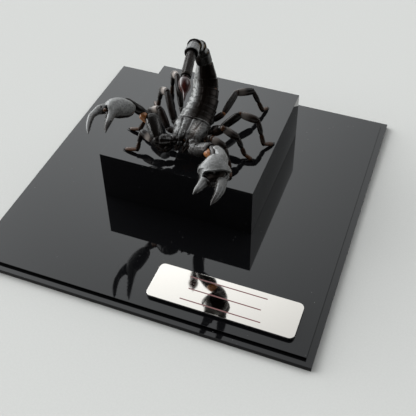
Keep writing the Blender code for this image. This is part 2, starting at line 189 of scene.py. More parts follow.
SHADE_NOTCHES = {                         # dark pieces painting the shade in the gaps round the root of the right moving finger
    "right": (((-46.3, -31.5, 41.2, 0.2), (-45.9, -32.1, 41.1, 0.6), (-45.5, -32.7, 40.8, 0.5)),
              ((-47.3, -39.0, 40.0, 0.2), (-46.9, -37.7, 39.9, 0.6), (-45.7, -34.1, 37.9, 0.9),
               (-43.6, -33.4, 38.1, 0.8), (-42.6, -32.6, 38.1, 0.3))),
    "left": (),
}

# ---- legs: coxa root, trochanter end, knee, shin top, ankle, toe -------------------------------
LEGS = {
    "leg_left_1": ((5, -7, 11.0), (9.6, -8.2, 12.6), (14.2, -9.6, 16.0), (23.2, -12, 13.8),
                   (28.2, -17.2, 3.0), (30.2, -22.3, 0.9)),
    "leg_left_2": ((5, 0, 9.6), (11.1, 0.6, 10.8), (18.8, -3.3, 20.5), (27.2, -0.6, 13.3),
                   (32.6, -2.6, 3.0), (37.4, -3.2, 0.9)),
    "leg_left_3": ((5, 4.6, 9.4), (13.9, 6.2, 11.6), (24.0, 13.6, 20.0), (35.2, 14.3, 17.6),
                   (40.6, 10.4, 3.0), (45.0, 15.2, 0.9)),
    "leg_left_4": ((4, 9, 9.8), (11.6, 16.8, 14.4), (14.1, 33.6, 19.5), (22.5, 42.8, 16.7),
                   (29.7, 42.1, 3.0), (31.1, 48.2, 0.9)),
    "leg_right_1": ((-8, -12, 8.6), (-13.6, -18.3, 5.6), (-22.5, -16.4, 9.6),
                    (-31.4, -12.9, 10.5), (-31.2, -20.8, 2.6), (-39.2, -20.8, 0.9)),
    "leg_right_2": ((-9, -5, 9.6), (-17.4, -4.0, 10.2), (-25.0, 1.5, 20.0), (-33.0, 3.2, 14.4),
                    (-37.9, -2.6, 2.6), (-44.9, -2.2, 0.9)),
    "leg_right_3": ((-9, 2, 9.6), (-16.8, 3.4, 10.6), (-25.1, 14.2, 24.2), (-32.4, 20.8, 18.6),
                    (-36.4, 22.3, 3.0), (-41.2, 28.4, 0.9)),
    "leg_right_4": ((-9, 8, 9.8), (-15.8, 14.0, 13.4), (-24.4, 29.2, 26.0), (-31.4, 38.2, 20.0),
                    (-33.2, 38.0, 3.0), (-35.2, 43.6, 0.9)),
}
# Trochanter, femur, patella, tibia, basitarsus and foot: half width, half height, their share at
# the far end, keels, height of the grains, softness, hairs.
LEG_SEGMENTS = (
    (1.8, 2.1, 1.0, ((30, 0.10, 12),), 0.02, 0, 6),
    (2.05, 2.6, 1.0, ((14, 0.07, 9), (160, 0.08, 9)), 0.012, 0, 16),
    (2.2, 2.7, 0.95, ((14, 0.08, 9), (90, 0.06, 9), (160, 0.08, 9)), 0.02, 0, 14),
    (1.55, 1.7, 0.9, ((20, 0.06, 12),), 0.02, 0, 16),
    (1.4, 1.5, 0.95, (), 0.02, 0.05, 22),
    (1.45, 1.03, 0.85, (), 0.02, 0.14, 26),
)
BASE_SHARE = 0.35                   # where a leg's base ends, as a share of the way to its hip
SHIN_SPLIT = 0.55                   # where the tibia meets the basitarsus, as a share of the shin

# Profiles along a segment: share of its length, share of its size, 1 on the outside and 0 in the
# cup at its hind end.
RING_PROFILE = (
    (-0.05, 0.04, 1), (-0.045, 0.50, 1), (-0.02, 0.74, 1), (0.03, 0.86, 1), (0.12, 0.93, 1),
    (0.40, 0.96, 1), (0.70, 0.99, 1), (0.88, 1.03, 1), (0.96, 1.02, 1), (0.985, 0.98, 1),
    (0.98, 0.90, 0), (0.965, 0.82, 0), (0.95, 0.05, 0),
)
LIMB_PROFILE = (
    (-0.03, 0.05, 1), (-0.01, 0.44, 1), (0.05, 0.66, 1), (0.14, 0.84, 1), (0.35, 0.97, 1),
    (0.62, 1.02, 1), (0.82, 1.00, 1), (0.93, 0.90, 1), (0.99, 0.80, 1), (1.0, 0.74, 1),
    (0.985, 0.60, 0), (0.96, 0.05, 0),
)
CLOSED_PROFILE = (
    (0.0, 0.05, 1), (0.0, 0.7, 1), (0.03, 0.97, 1), (0.5, 1, 1), (0.97, 1, 1), (1.0, 0.9, 1),
    (1.0, 0.05, 1),
)
BARE_FRONT = (0.04, 0.16)           # shares of a segment between which keels and grains set in
TOOTH_SPACING, LARGE_TOOTH_SPACING = 0.75, 3.1


# ================================ surfaces in numpy ============================================

def unit(vectors):
    """Each vector divided by its own length."""
    return vectors / np.maximum(np.linalg.norm(vectors, axis=-1, keepdims=True), 1e-9)


def smooth(low, high, value):
    """0 below low, 1 above high, and the cubic 3t^2 - 2t^3 between them."""
    t = np.clip((np.asarray(value, float) - low) / (high - low), 0.0, 1.0)
    return t * t * (3.0 - 2.0 * t)


def band(value, low, full, fading, gone):
    """0 up to low, 1 from full to fading, 0 again from gone on, with smooth steps between them."""
    return smooth(low, full, value) * (1 - smooth(fading, gone, value))


def hump(value, centre, width):
    """The bell curve exp(-((value - centre) / width)^2)."""
    return np.exp(-((value - centre) / width) ** 2)


def spline(rows, count):
    """A Catmull-Rom curve through rows of any number of columns, at count even parameters.

    Between two rows it is the cubic that leaves and reaches them along the line between their
    neighbours; the ends are continued straight.
    """
    rows = np.asarray(rows, float)
    rows = np.vstack([2 * rows[0] - rows[1], rows, 2 * rows[-1] - rows[-2]])
    where = np.linspace(0, len(rows) - 3, count)
    first = np.minimum(where.astype(int), len(rows) - 4)
    t = (where - first)[:, None]
    a, b, c, d = rows[first], rows[first + 1], rows[first + 2], rows[first + 3]
    return 0.5 * (2 * b + (c - a) * t + (2 * a - 5 * b + 4 * c - d) * t ** 2
                  + (3 * b - a - 3 * c + d) * t ** 3)


def hashed(cells, seed):
    """A number from 0 to 1 for each lattice cell, from an integer hash of its three indices."""
    cells = cells.astype(np.int64)
    mix = cells[..., 0] * 73856093 ^ cells[..., 1] * 19349663 ^ cells[..., 2] * 83492791
    mix = (mix ^ (seed * 2654435761)) & 0xFFFFFFFF
    mix = ((mix ^ (mix >> 15)) * 2246822519) & 0xFFFFFFFF
    mix = ((mix ^ (mix >> 13)) * 3266489917) & 0xFFFFFFFF
    return ((mix ^ (mix >> 16)) & 0xFFFFFF) / float(0xFFFFFF)


def grains(points, spacing, seed, reach=0.5):
    """Round grains strewn over space, as heights from 0 to 1.

    Each cell of a cubic lattice holds one grain at a random place; a point's height is a dome
    over its nearest grain: 1 - (distance / reach)^2, and 0 further out.
    """
    scaled = points / spacing
    cell = np.floor(scaled)
    nearest = np.full(points.shape[:-1], 9.0)
    for offset in np.ndindex(3, 3, 3):
        near = cell + np.array(offset) - 1
        spot = near + np.stack([hashed(near, seed + k) for k in range(3)], axis=-1)
        nearest = np.minimum(nearest, ((scaled - spot) ** 2).sum(-1))
    return np.clip(1.0 - nearest / reach ** 2, 0.0, 1.0)


def waves(points, spacing, seed):
    """Smooth noise from 0 to 1: random numbers at lattice corners, blended by cubic steps."""
    scaled = points / spacing
    cell = np.floor(scaled)
    t = scaled - cell
    t = t * t * (3 - 2 * t)
    total = np.zeros(points.shape[:-1])
    for offset in np.ndindex(2, 2, 2):
        corner = np.array(offset)
        share = np.prod(np.where(corner == 1, t, 1 - t), axis=-1)
        total += share * hashed(cell + corner, seed)
    return total


def sides(path, side):
    """Directions along, across and above a path.

    Across is the part of side that is square to the path, and above is square to both.
    """
    ahead = unit(np.gradient(path, axis=0))
    side = np.broadcast_to(np.asarray(side, float), path.shape)
    across = unit(side - ahead * (side * ahead).sum(-1, keepdims=True))
    return ahead, across, np.cross(across, ahead)


def oval(angles, squareness):
    """A unit superellipse: cosine and sine, each raised to the power 2 / squareness."""
    power = 2.0 / squareness
    across, above = np.cos(angles), np.sin(angles)
    return (np.sign(across) * np.abs(across) ** power, np.sign(above) * np.abs(above) ** power)


def ovals(centre, across, above, wide, high):
    """A grid of points: a row for each centre, moved across by wide and up by high."""
    return centre[:, None] + across[:, None] * wide[..., None] + above[:, None] * high[..., None]


def sweep(path, side, half_width, half_up, half_down, angles, squareness=2.0):
    """A grid of points: an oval carried along a path, one row for each place on it.

    Angle 0 points across, a quarter turn points above.
    """
    _, across, above = sides(path, side)
    x, z = oval(angles, squareness)
    high = np.where(z > 0, half_up[:, None], half_down[:, None]) * z
    return ovals(path, across, above, half_width[:, None] * x, high)


def outward(grid, wrapped):
    """Normals of a grid: the cross product of its steps along the rows and along the columns."""
    down = np.gradient(grid, axis=0)
    if wrapped:
        over = np.roll(grid, -1, 1) - np.roll(grid, 1, 1)
    else:
        over = np.gradient(grid, axis=1)
    return unit(np.cross(down, over))


def full_turn(count):
    """Even angles round a full turn."""
    return np.linspace(0.0, 2 * math.pi, count, endpoint=False)


def turned(angle, centre):
    """An angle's distance from a centre, from minus half a turn to half a turn."""
    return (angle - centre + math.pi) % (2 * math.pi) - math.pi


# A surface is a dict: points, quads, triangles, and marks, a row for each point.  Soft is 0 on dark
# cuticle and 1 on orange brown skin.  The next mark is 1 where the surface is grey, from wear and
# from painted highlight.  Tip runs from 0 to 1 for dark and glossy, and on to 2 for dark and dull;
# it marks dark tips, and painted shade too.
MARKS = ("soft", "wear_and_highlight", "tip")


def surface(points, quads, triangles, soft=0.0, wear_and_highlight=0.0, tip=0.0):
    """Gathers a surface.  A mark is one number, or one for each point."""
    count = len(points)
    marks = [np.broadcast_to(np.asarray(m, float).reshape(-1), count) if np.ndim(m) else
             np.full(count, float(m)) for m in (soft, wear_and_highlight, tip)]
    return {"points": points, "quads": quads, "triangles": triangles,
            "marks": np.stack(marks, axis=-1)}


def tube(grid, soft=0.0, wear_and_highlight=0.0, tip=0.0):
    """Closes a wrapped grid: quads between rings, and a fan of triangles to a pole at each end."""
    rows, around = grid.shape[:2]
    ring = np.arange(around)
    turn = (ring + 1) % around
    start = np.arange(rows - 1)[:, None] * around
    quads = np.stack([start + ring, start + around + ring, start + around + turn, start + turn], -1)
    first, last = rows * around, rows * around + 1
    end = (rows - 1) * around
    fans = np.vstack([np.stack([np.full(around, first), ring, turn], -1),
                      np.stack([np.full(around, last), end + turn, end + ring], -1)])
    points = np.vstack([grid.reshape(-1, 3), grid[0].mean(0), grid[-1].mean(0)])

    def poled(mark):
        if not np.ndim(mark):
            return mark
        mark = np.broadcast_to(mark, (rows, around))
        return np.concatenate([mark.reshape(-1), [mark[0].mean(), mark[-1].mean()]])
    return surface(points, quads.reshape(-1, 4), fans, poled(soft), poled(wear_and_highlight), poled(tip))


def plate(grid, thickness, soft=0.0, wear_and_highlight=0.0, tip=0.0):
    """A closed plate: the grid, the same grid moved inwards, and a rim of quads between them."""
    rows, columns = grid.shape[:2]
    inner = grid - outward(grid, False) * np.asarray(thickness)[..., None]
    index = np.arange(rows * columns).reshape(rows, columns)
    a, b, c, d = index[:-1, :-1], index[1:, :-1], index[1:, 1:], index[:-1, 1:]
    top = np.stack([a, b, c, d], -1).reshape(-1, 4)
    below = top[:, ::-1] + rows * columns
    border = np.concatenate([index[0, :], index[1:, -1], index[-1, -2::-1], index[-2:0:-1, 0]])
    after = np.roll(border, -1)
    rim = np.stack([border, after, after + rows * columns, border + rows * columns], -1)
    points = np.vstack([grid.reshape(-1, 3), inner.reshape(-1, 3)])

    def doubled(mark):
        if not np.ndim(mark):
            return mark
        mark = np.broadcast_to(mark, (rows, columns)).reshape(-1)
        return np.concatenate([mark, mark])
    return surface(points, np.vstack([top, below, rim]), np.zeros((0, 3), int),
                   doubled(soft), doubled(wear_and_highlight), doubled(tip))


def ball(rings, around, gap):
    """A unit ball as a wrapped grid: circles of radius sin(t) at height cos(t), t from gap on."""
    t = np.linspace(gap, math.pi - gap, rings)[:, None]
    angles = full_turn(around)
    x, y = np.sin(t) * np.cos(angles), np.sin(t) * np.sin(angles)
    return np.stack([x, y, np.broadcast_to(np.cos(t), x.shape)], -1)


def bead(centre, radius, tip=0.0, stretch=(1, 1, 1)):
    """A small ball or egg."""
    return tube(np.asarray(centre, float) + ball(10, 14, 0.12) * radius * np.asarray(stretch, float),
                tip=tip)


def horn(rows, around=8, count=10, soft=0.0, tip=1.0):
    """A curved round spike through rows of place and radius."""
    rows = spline(rows, count)
    path = rows[:, :3]
    side = np.cross(path[-1] - path[0], (0.31, 0.17, 0.93))
    radius = np.maximum(rows[:, 3], 0.02)
    return tube(sweep(path, side, radius, radius, radius, full_turn(around)), soft, tip=tip)


def hairs(roots, directions, lengths, radius, lean):
    """Hairs as thin three-sided spikes: three points at the root, three halfway and the tip.

    The upper half bends by lean, so that each hair curves.
    """
    directions = unit(directions)
    first = unit(np.cross(directions, (0.37, 0.61, 0.70)))
    second = np.cross(directions, first)
    corners = full_turn(3)
    ring = first[:, None] * np.cos(corners)[:, None] + second[:, None] * np.sin(corners)[:, None]
    reach = directions * lengths[:, None]
    middle = roots + reach * 0.5 + lean * lengths[:, None] * 0.12
    tips = roots + reach + lean * lengths[:, None] * 0.45
    points = np.concatenate([(roots - directions * 0.1)[:, None] + ring * radius,
                             middle[:, None] + ring * radius * 0.7, tips[:, None]], axis=1)
    shift = 7 * np.arange(len(roots))[:, None, None]
    quads = np.array([[0, 1, 4, 3], [1, 2, 5, 4], [2, 0, 3, 5]]) + shift
    fans = np.array([[2, 1, 0], [3, 4, 6], [4, 5, 6], [5, 3, 6]]) + shift
    return surface(points.reshape(-1, 3), quads.reshape(-1, 4), fans.reshape(-1, 3), tip=0.75)


def hairs_on(grid, count, seed, length, lean=(0, 0, 0), radius=0.022, keep=None):
    """Hairs rooted at random points of a wrapped grid, standing out along its normals."""
    picks = np.random.default_rng(seed)
    normals = outward(grid, True).reshape(-1, 3)
    points = grid.reshape(-1, 3)
    allowed = np.arange(len(points)) if keep is None else np.flatnonzero(keep.reshape(-1))
    chosen = picks.choice(allowed, size=min(count, len(allowed)), replace=False)
    lengths = length * picks.uniform(0.55, 1.2, len(chosen))
    sway = picks.normal(0.0, 0.16, (len(chosen), 3))
    lean = np.asarray(lean, float)
    return hairs(points[chosen], normals[chosen] + 0.5 * lean + sway, lengths, radius, lean)


def mesh_of(name, surfaces):
    """One mesh of several surfaces, in metres, with their marks as point attributes."""
    shift = np.concatenate([[0], np.cumsum([len(s["points"]) for s in surfaces])[:-1]])
    points, marks = (np.vstack([s[key] for s in surfaces]) for key in ("points", "marks"))
    quads, fans = (np.vstack([s[key] + k for s, k in zip(surfaces, shift)])
                   for key in ("quads", "triangles"))
    mesh = bpy.data.meshes.new(name)
    mesh.vertices.add(len(points))
    places = (points + np.array([0.0, 0.0, BLOCK_TOP])) * MM
    mesh.vertices.foreach_set("co", places.astype(np.float32).ravel())
    corners = np.concatenate([quads.ravel(), fans.ravel()]).astype(np.int32)
    mesh.loops.add(len(corners))
    mesh.loops.foreach_set("vertex_index", corners)
    starts = np.concatenate([4 * np.arange(len(quads)), 4 * len(quads) + 3 * np.arange(len(fans))])
    mesh.polygons.add(len(starts))
    mesh.polygons.foreach_set("loop_start", starts.astype(np.int32))
    mesh.polygons.foreach_set("use_smooth", np.ones(len(starts), bool))
    mesh.update(calc_edges=True)
    for column, mark in enumerate(MARKS):
        attribute = mesh.attributes.new(mark, "FLOAT", "POINT")
        attribute.data.foreach_set("value", marks[:, column].astype(np.float32))
    return mesh


def placed(name, data):
    """A new object in the scene."""
    thing = bpy.data.objects.new(name, data)
    bpy.context.scene.collection.objects.link(thing)
    return thing


def piece(name, surfaces, material, node):
    """A piece of the object: several closed surfaces with one material, in place of a solid."""
    mesh = mesh_of(name, surfaces)
    mesh.materials.append(material)
    thing = placed(name, mesh)
    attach(thing, "root")
    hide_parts(node)


# ================================ jointed parts ================================================

def run_along(line):
    """Distance run along a line of points, at each of its points."""
    return np.concatenate([[0.0], np.cumsum(np.linalg.norm(np.diff(line, axis=0), axis=1))])


def read_off(where, known, table):
    """The rows of a table, known at some places, read off at other places between them."""
    return np.stack([np.interp(where, known, column) for column in table.T], -1)


def limb(rows, side, profile, step, around, squareness=2.2, keels=(), tooth_spacing=1.1,
         grain=(0.9, 0.0), folds=(1.0, 0.0), seed=1, soft=0.0, highlight_paint=0.0, highlight_paint_to=2.0,
         rub=0.4, dull=0.0):
    """One segment, as a closed surface and its grid.

    Rows are places with half width and half height.  An oval is carried along their smooth path
    in steps of step millimetres, and scaled by the profile, which ends in a hollow cup.  The
    relief added along the normals is a sum: keels, each a bell curve over the angle from above,
    cut into teeth by a cosine along the length whose phase drifts with smooth noise; strewn
    grains; and folds, a cosine along the length that is strongest at the sides.  Keels, grains
    and the painted highlight set in behind the bare front.  The grey mark is the relief divided
    by rub, which is grey wear, plus the painted highlight up to its given end share.  Tip makes a
    dull segment dark and dull all over, and paints every hollow cup dark as the shade inside it.
    """
    rows = spline(rows, 80)
    reach = run_along(rows[:, :3])
    share = reach / reach[-1]
    outline = spline(profile, 14 * len(profile))
    run = run_along(outline[:, :2] * (reach[-1], rows[:, 3].max()))
    places = np.linspace(0, run[-1], max(int(run[-1] / step), 10))
    t, size, outer = read_off(places, run, outline).T
    ahead, across, above = (read_off(t, share, table) for table in sides(rows[:, :3], side))
    past = (np.minimum(t, 0) + np.maximum(t - 1, 0)) * reach[-1]
    centre = read_off(t, share, rows[:, :3]) + ahead * past[:, None]
    width, height = (read_off(t, share, rows[:, 3:]) * size[:, None]).T
    angles = full_turn(around)
    x, z = oval(angles, squareness)
    grid = ovals(centre, across, above, width[:, None] * x, height[:, None] * z)
    from_above = np.abs(turned(angles, math.pi / 2))
    length = (t * reach[-1])[:, None]
    relief = np.zeros(grid.shape[:2])
    drift = 1.1 * waves(grid, 1.9, seed + 3)
    for angle, rise, spread in keels:
        tooth = 0.5 + 0.5 * np.cos(2 * math.pi * (length / tooth_spacing + 0.01 * angle + drift))
        keel = hump(from_above, math.radians(angle), math.radians(spread))
        relief += rise * keel * (0.45 + 0.55 * tooth)
    spacing, rise = grain
    if rise:
        relief += rise * grains(grid, spacing, seed)
    covered = (smooth(*BARE_FRONT, t) * outer)[:, None]
    relief *= covered * (1 - 0.55 * smooth(0.88, 0.96, t))[:, None]
    # A painted highlight, grey up to its given end share, and grey wear on the relief.
    highlight_share = highlight_paint * (1 - smooth(highlight_paint_to - 0.2, highlight_paint_to + 0.2, t))[:, None]
    wear_and_highlight = np.clip(relief / rub + highlight_share * covered, 0, 1)
    spacing, depth = folds
    relief += depth * np.cos(2 * math.pi * length / spacing) * np.abs(x) ** 2
    grid = grid + outward(grid, True) * relief[..., None]
    # Every hollow cup is painted dark and dull, as the shade inside it.
    tip = (1 + dull if dull > 0 else 0) * outer + DARK_DULL * (1 - outer)
    return tube(grid, soft, wear_and_highlight, tip[:, None]), grid


def joint_skin(place, radius, soft=0.0):
    """The skin showing in a joint: a ball dented by smooth noise, dark unless it is marked soft."""
    place, shape = np.asarray(place, float), ball(26, 34, 0.10)
    dents = 0.95 + 0.08 * waves(shape * 3 + place, 0.8, 17)
    return tube(place + shape * radius * dents[..., None], soft, tip=DARK_DULL * (1 - soft))


def rows_between(start, end, width, height, taper=1.0):
    """The two rows of a straight segment, with the far one's width and height scaled by taper."""
    return (*start, width, height), (*end, width * taper, height * taper)


# ---- body ------------------------------------------------------------------------------------

def carapace_parts():
    """The carapace and its eyes.

    Across and above come from an oval of squareness 2.35, scaled row by row.  The front edge is
    moved back by a bell curve in the middle, which makes its notch, and by cubic steps at the
    corners.  Furrows are bell curves taken off the height; swellings and the eye hill are added.
    The grey mark is dust and painted highlight: a bright lobe on each side, mottled by smooth
    noise, lighter on the swellings and darker in the furrows, and a grey hind edge; soft gives the
    left lobe a trace of tan.  Tip marks painted shade: the dark front and the furrow in the middle.
    """
    count, around = 110, 104
    rows = spline(CARAPACE_ROWS, count)
    u = np.linspace(0, 1, count)[:, None]
    angles = np.linspace(math.radians(-16), math.radians(196), around)
    across, above = oval(angles, 2.35)
    wide = np.abs(across)
    notch, corners = 1.9 * hump(across, 0, 0.20), 2.2 * smooth(0.55, 1.05, wide)
    set_back = notch + corners - 0.5 * hump(wide, 0.4, 0.2)
    grid = np.stack([rows[:, 1:2] + rows[:, 3:4] * across,
                     rows[:, 0:1] + set_back * (1 - u) ** 3,
                     rows[:, 2:3] + rows[:, 4:5] * above], -1)
    middle = band(u, 0.06, 0.2, 0.9, 0.97)
    middle_furrow = (0.40 + 0.55 * u) * hump(across, 0, 0.05) * middle
    hind_furrows = 0.60 * hump(wide, 0.22 + 0.35 * u, 0.055) * smooth(0.5, 0.66, u) * middle
    front_furrows = 0.50 * hump(wide, 0.62 - 0.5 * (u - 0.25), 0.06) * hump(u, 0.3, 0.16)
    swellings = (0.45 * hump(wide, 0.36, 0.12) * hump(u, 0.66, 0.2)
                 + 0.35 * hump(wide, 0.60, 0.12) * hump(u, 0.60, 0.2))
    hind_border = 0.12 * smooth(0.96, 0.975, u) - 0.28 * hump(u, 0.945, 0.014)
    eye_hill = 0.95 * hump(across, 0, 0.13) * hump(u, EYES_AT, 0.085)
    rough = smooth(0.30, 0.85, wide) * smooth(0.02, 0.1, u)
    bumps = grains(grid, 0.85, 11)
    relief = (swellings + eye_hill + hind_border + bumps * (0.012 + 0.09 * rough)
              - middle_furrow - hind_furrows - front_furrows)
    grid = grid + outward(grid, False) * relief[..., None]
    mottled = 0.3 + 1.1 * smooth(0.3, 0.7, waves(grid, 0.75, 13)) * (0.4 + waves(grid, 0.32, 14))
    # Dust and painted light: grey everywhere, lighter on raised relief and darker in the furrows,
    # and much brighter in the two lobes below, where highlights are painted.
    patches = (hump(across, -0.55, 0.30) * hump(u, 0.62, 0.30)
               + hump(across, 0.45, 0.26) * hump(u, 0.62, 0.22))
    dust_and_highlight = (0.17 + 0.6 * relief + 0.2 * bumps * rough) * mottled * (0.5 + 2.2 * patches)
    wear_and_highlight = np.clip(dust_and_highlight + 0.25 * smooth(0.985, 1.0, u), 0, 1)
    tan = 0.10 * hump(across, 0.45, 0.22) * hump(u, 0.62, 0.20)
    # Painted shade: the front and the middle furrow are dark.
    dark = 1.5 * (1 - smooth(0.16, 0.34, u + 0.08 * wide)) + 1.3 * hump(across, 0, 0.06) * middle
    parts = [plate(grid, 0.45, tan, wear_and_highlight * (1 - np.clip(dark, 0, 0.7)), np.clip(dark, 0, 1.6))]
    row, apart = int(EYES_AT * count), 4
    for column in (around // 2 - apart, around // 2 + apart - 1):
        parts.append(bead(grid[row, column] - (0, 0, 0.15), 0.66, tip=1.0))
    for row, column in SIDE_EYES:
        for column in (column, around - 1 - column):
            parts.append(bead(grid[row, column], 0.36, tip=1.0))
    return parts


def tergite_parts():
    """The seven back plates.

    Each is an oval arch carried along the abdomen's line from just under the plate before it to
    just over the next, rising to a thicker hind edge with fine grains before it.  The last one is
    nearly closed, and has toothed keels.  The grey mark is dust and painted highlight on the
    blotched right flank, and painted highlight along the hind edges; tip paints shade over
    everything to the left of it, which is dark and dull.
    """
    line = spline(ABDOMEN_LINE, 240)
    reach = run_along(line)
    _, across, above = sides(line, ACROSS)
    start, parts = 0.0, []
    for number, (length, front, back) in enumerate(TERGITES):
        last = number == len(TERGITES) - 1
        under, over = 0.0 if number == 0 else 0.7, 0.0 if last else 0.45
        along = np.linspace(start - under, start + length + over, int(length / 0.25) + 8)
        u = (along - start) / length
        low = math.radians(-70 if last else -9)
        x, z = oval(np.linspace(low, math.pi - low, 84), 2.05)
        rise = np.interp(along, HEIGHTS_AT, BACK_HALF_HEIGHTS)
        swell = 0.955 + 0.05 * smooth(-0.05, 0.35, u) + 0.012 * smooth(0.9, 1.0, u)
        width = (front + (back - front) * np.clip(u, 0, 1.1)) * swell
        grid = ovals(*(read_off(along, reach, table) for table in (line, across, above)),
                     width[:, None] * x, (rise * swell)[:, None] * z)
        wide, u = np.abs(x), u[:, None]
        bumps = grains(grid, 0.7, 31 + number)
        rough = 0.01 + 0.05 * band(u, 0.45, 0.95, 0.97, 1.0)
        middle_keel = 0.16 * hump(wide, 0, 0.035) * smooth(0.3, 0.6, u) * (number > 1)
        dents = 0.14 * hump(wide, 0.45, 0.05) * hump(u, 0.35, 0.25)
        groove = 0.12 * hump(u, 0.30, 0.06) * (1 - last)
        relief = bumps * rough + middle_keel - dents - groove
        if last:
            tooth = 0.5 + 0.5 * np.cos(2 * math.pi * along[:, None] / 0.95)
            keels = hump(wide, 0.30, 0.05) + hump(wide, 0.74, 0.05)
            relief = relief + 0.20 * keels * smooth(0.15, 0.5, u) * (0.7 + 0.3 * tooth)
        grid = grid + outward(grid, False) * relief[..., None]
        # Dust and painted highlight on the right flank, blotched.
        blotches = smooth(0.3, 0.75, waves(grid, 1.3, 51 + number)) + 0.5 * waves(grid, 0.4, 61)
        dust_and_highlight = smooth(0.34, 0.60, -x) * (0.1 + 0.9 * blotches)
        # A painted highlight along each hind edge.
        hind_edge_highlight = smooth(0.965, 0.99, u / u.max())
        wear_and_highlight = np.clip(0.06 * bumps + 0.3 * hind_edge_highlight + dust_and_highlight, 0, 1)
        # Painted shade: dark and dull over all but the right flank, less so on the hind edge.
        dark = 1.6 * smooth(-0.42, -0.15, x) * (1 - 0.4 * hind_edge_highlight)
        parts.append(plate(grid, 0.30, wear_and_highlight=wear_and_highlight, tip=dark))
        start += length
    return parts


def belly_parts():
    """Five belly plates: the lower parts of ovals carried along the abdomen's line."""
    line = spline(ABDOMEN_LINE, 200)
    reach = run_along(line)
    ends = np.cumsum([0.0] + [length for length, front, back in TERGITES])
    widths = [TERGITES[0][1]] + [back for length, front, back in TERGITES]
    _, across, above = sides(line, ACROSS)
    x, z = oval(np.linspace(math.radians(196), math.radians(344), 30), 2.3)
    first, points, overlap = 34, 32, 3          # counted in points of the line
    u = np.linspace(0, 1, points + overlap)
    parts = []
    for number in range(5):
        used = slice(first + points * number, first + points * (number + 1) + overlap)
        width = 0.96 * np.interp(reach[used], ends, widths) * (0.965 + 0.035 * smooth(0, 0.4, u))
        rise = np.interp(reach[used], HEIGHTS_AT, BELLY_HALF_HEIGHTS)
        rise = rise * (0.965 + 0.045 * smooth(0, 0.4, u))
        grid = ovals(line[used], across[used], above[used], width[:, None] * x, rise[:, None] * z)
        parts.append(plate(grid, 0.25, wear_and_highlight=0.08 * smooth(0.93, 1.0, u)[:, None]))
    return parts


def leg_base_parts():
    """The bases of the eight legs, which meet under the carapace."""
    parts = []
    for root, hip, *rest in LEGS.values():
        root, hip = np.array(root, float), np.array(hip, float)
        inner = np.array((BODY_X + 0.10 * (root[0] - BODY_X), 0.55 * root[1] - 3.4, 7.9))
        outer = root + BASE_SHARE * (hip - root)
        side = (0, 1 if root[0] < BODY_X else -1, 0)
        rows = (*inner, 1.7, 1.5), (*outer, 2.2, 1.9)
        parts.append(limb(rows, side, LIMB_PROFILE, step=0.5, around=22, keels=((25, 0.12, 12),))[0])
    return parts


def comb_parts():
    """The two combs under the body: a flat bar each, with a row of soft teeth."""
    parts = []
    for side in (-1, 1):
        comb = [(BODY_X + side * out, *rest) for out, *rest in COMB_ROWS]
        parts.append(limb(comb, (0, 1, 0), LIMB_PROFILE, step=0.4, around=18, soft=0.6)[0])
        places = spline(comb, 40)
        for share in np.linspace(0.1, 0.95, 14):
            root = places[int(share * 39), :3]
            parts.append(horn(((*root, 0.32), (*(root + (side * 0.3, 1.3, -0.3)), 0.30),
                               (*(root + (side * 0.5, 2.1, -0.5)), 0.2)), 6, 4, soft=0.9, tip=0.0))
    return parts


def underside_parts():
    """The flanks' folded skin, the belly plates, the leg bases, the breast plate and the combs."""
    skin, _ = limb(FLANK_ROWS, ACROSS, CLOSED_PROFILE, step=0.46, around=76, squareness=2.3,
                   folds=(1.35, 0.16), soft=0.4)
    breast_plate = bead((BODY_X, 0.6, 7.9), 1.0, stretch=(2.2, 2.4, 0.8))
    return [skin, *belly_parts(), *leg_base_parts(), breast_plate, *comb_parts()]


def mouth_parts():
    """The two short jaws under the front edge: a rounded hand and two curved, toothed fingers."""
    parts = []
    for side in (-1, 1):
        x = JAWS_X + side * 2.35
        hand = ((x, -12.6, 12.2, 1.9, 1.8), (x, -16.0, 12.6, 2.15, 2.0),
                (x - side * 0.1, -18.8, 12.2, 1.7, 1.6))
        made, grid = limb(hand, ACROSS, LIMB_PROFILE, step=0.22, around=44, grain=(0.6, 0.03),
                          seed=5)
        parts.append(made)
        parts.append(hairs_on(grid, 46, 60 + side, 1.5, (0, -1.2, -0.6), 0.035,
                              keep=grid[..., 1] < -16.8))
        outer = ((x + side * 1.1, -17.6, 12.5, 0.95), (x + side * 1.0, -20.0, 12.2, 0.75),
                 (x + side * 0.2, -22.0, 11.6, 0.42), (x - side * 0.3, -22.8, 11.1, 0.08))
        inner = ((x - side * 1.0, -17.8, 12.2, 0.95), (x - side * 1.0, -19.8, 11.9, 0.7),
                 (x - side * 0.5, -21.4, 11.4, 0.4), (x - side * 0.2, -22.1, 11.0, 0.08))
        parts += [horn(rows, 14, 18, tip=1.9) for rows in (outer, inner)]
        for tooth in range(3):
            shift = -side * 0.1 * tooth
            parts.append(horn(((x + side * 0.35 + shift, -19.1 - 0.9 * tooth, 12.2, 0.26),
                               (x + shift, -19.3 - 0.9 * tooth, 12.0, 0.03)), 6, 3))
    return parts


# ---- tail and sting ----------------------------------------------------------------------------

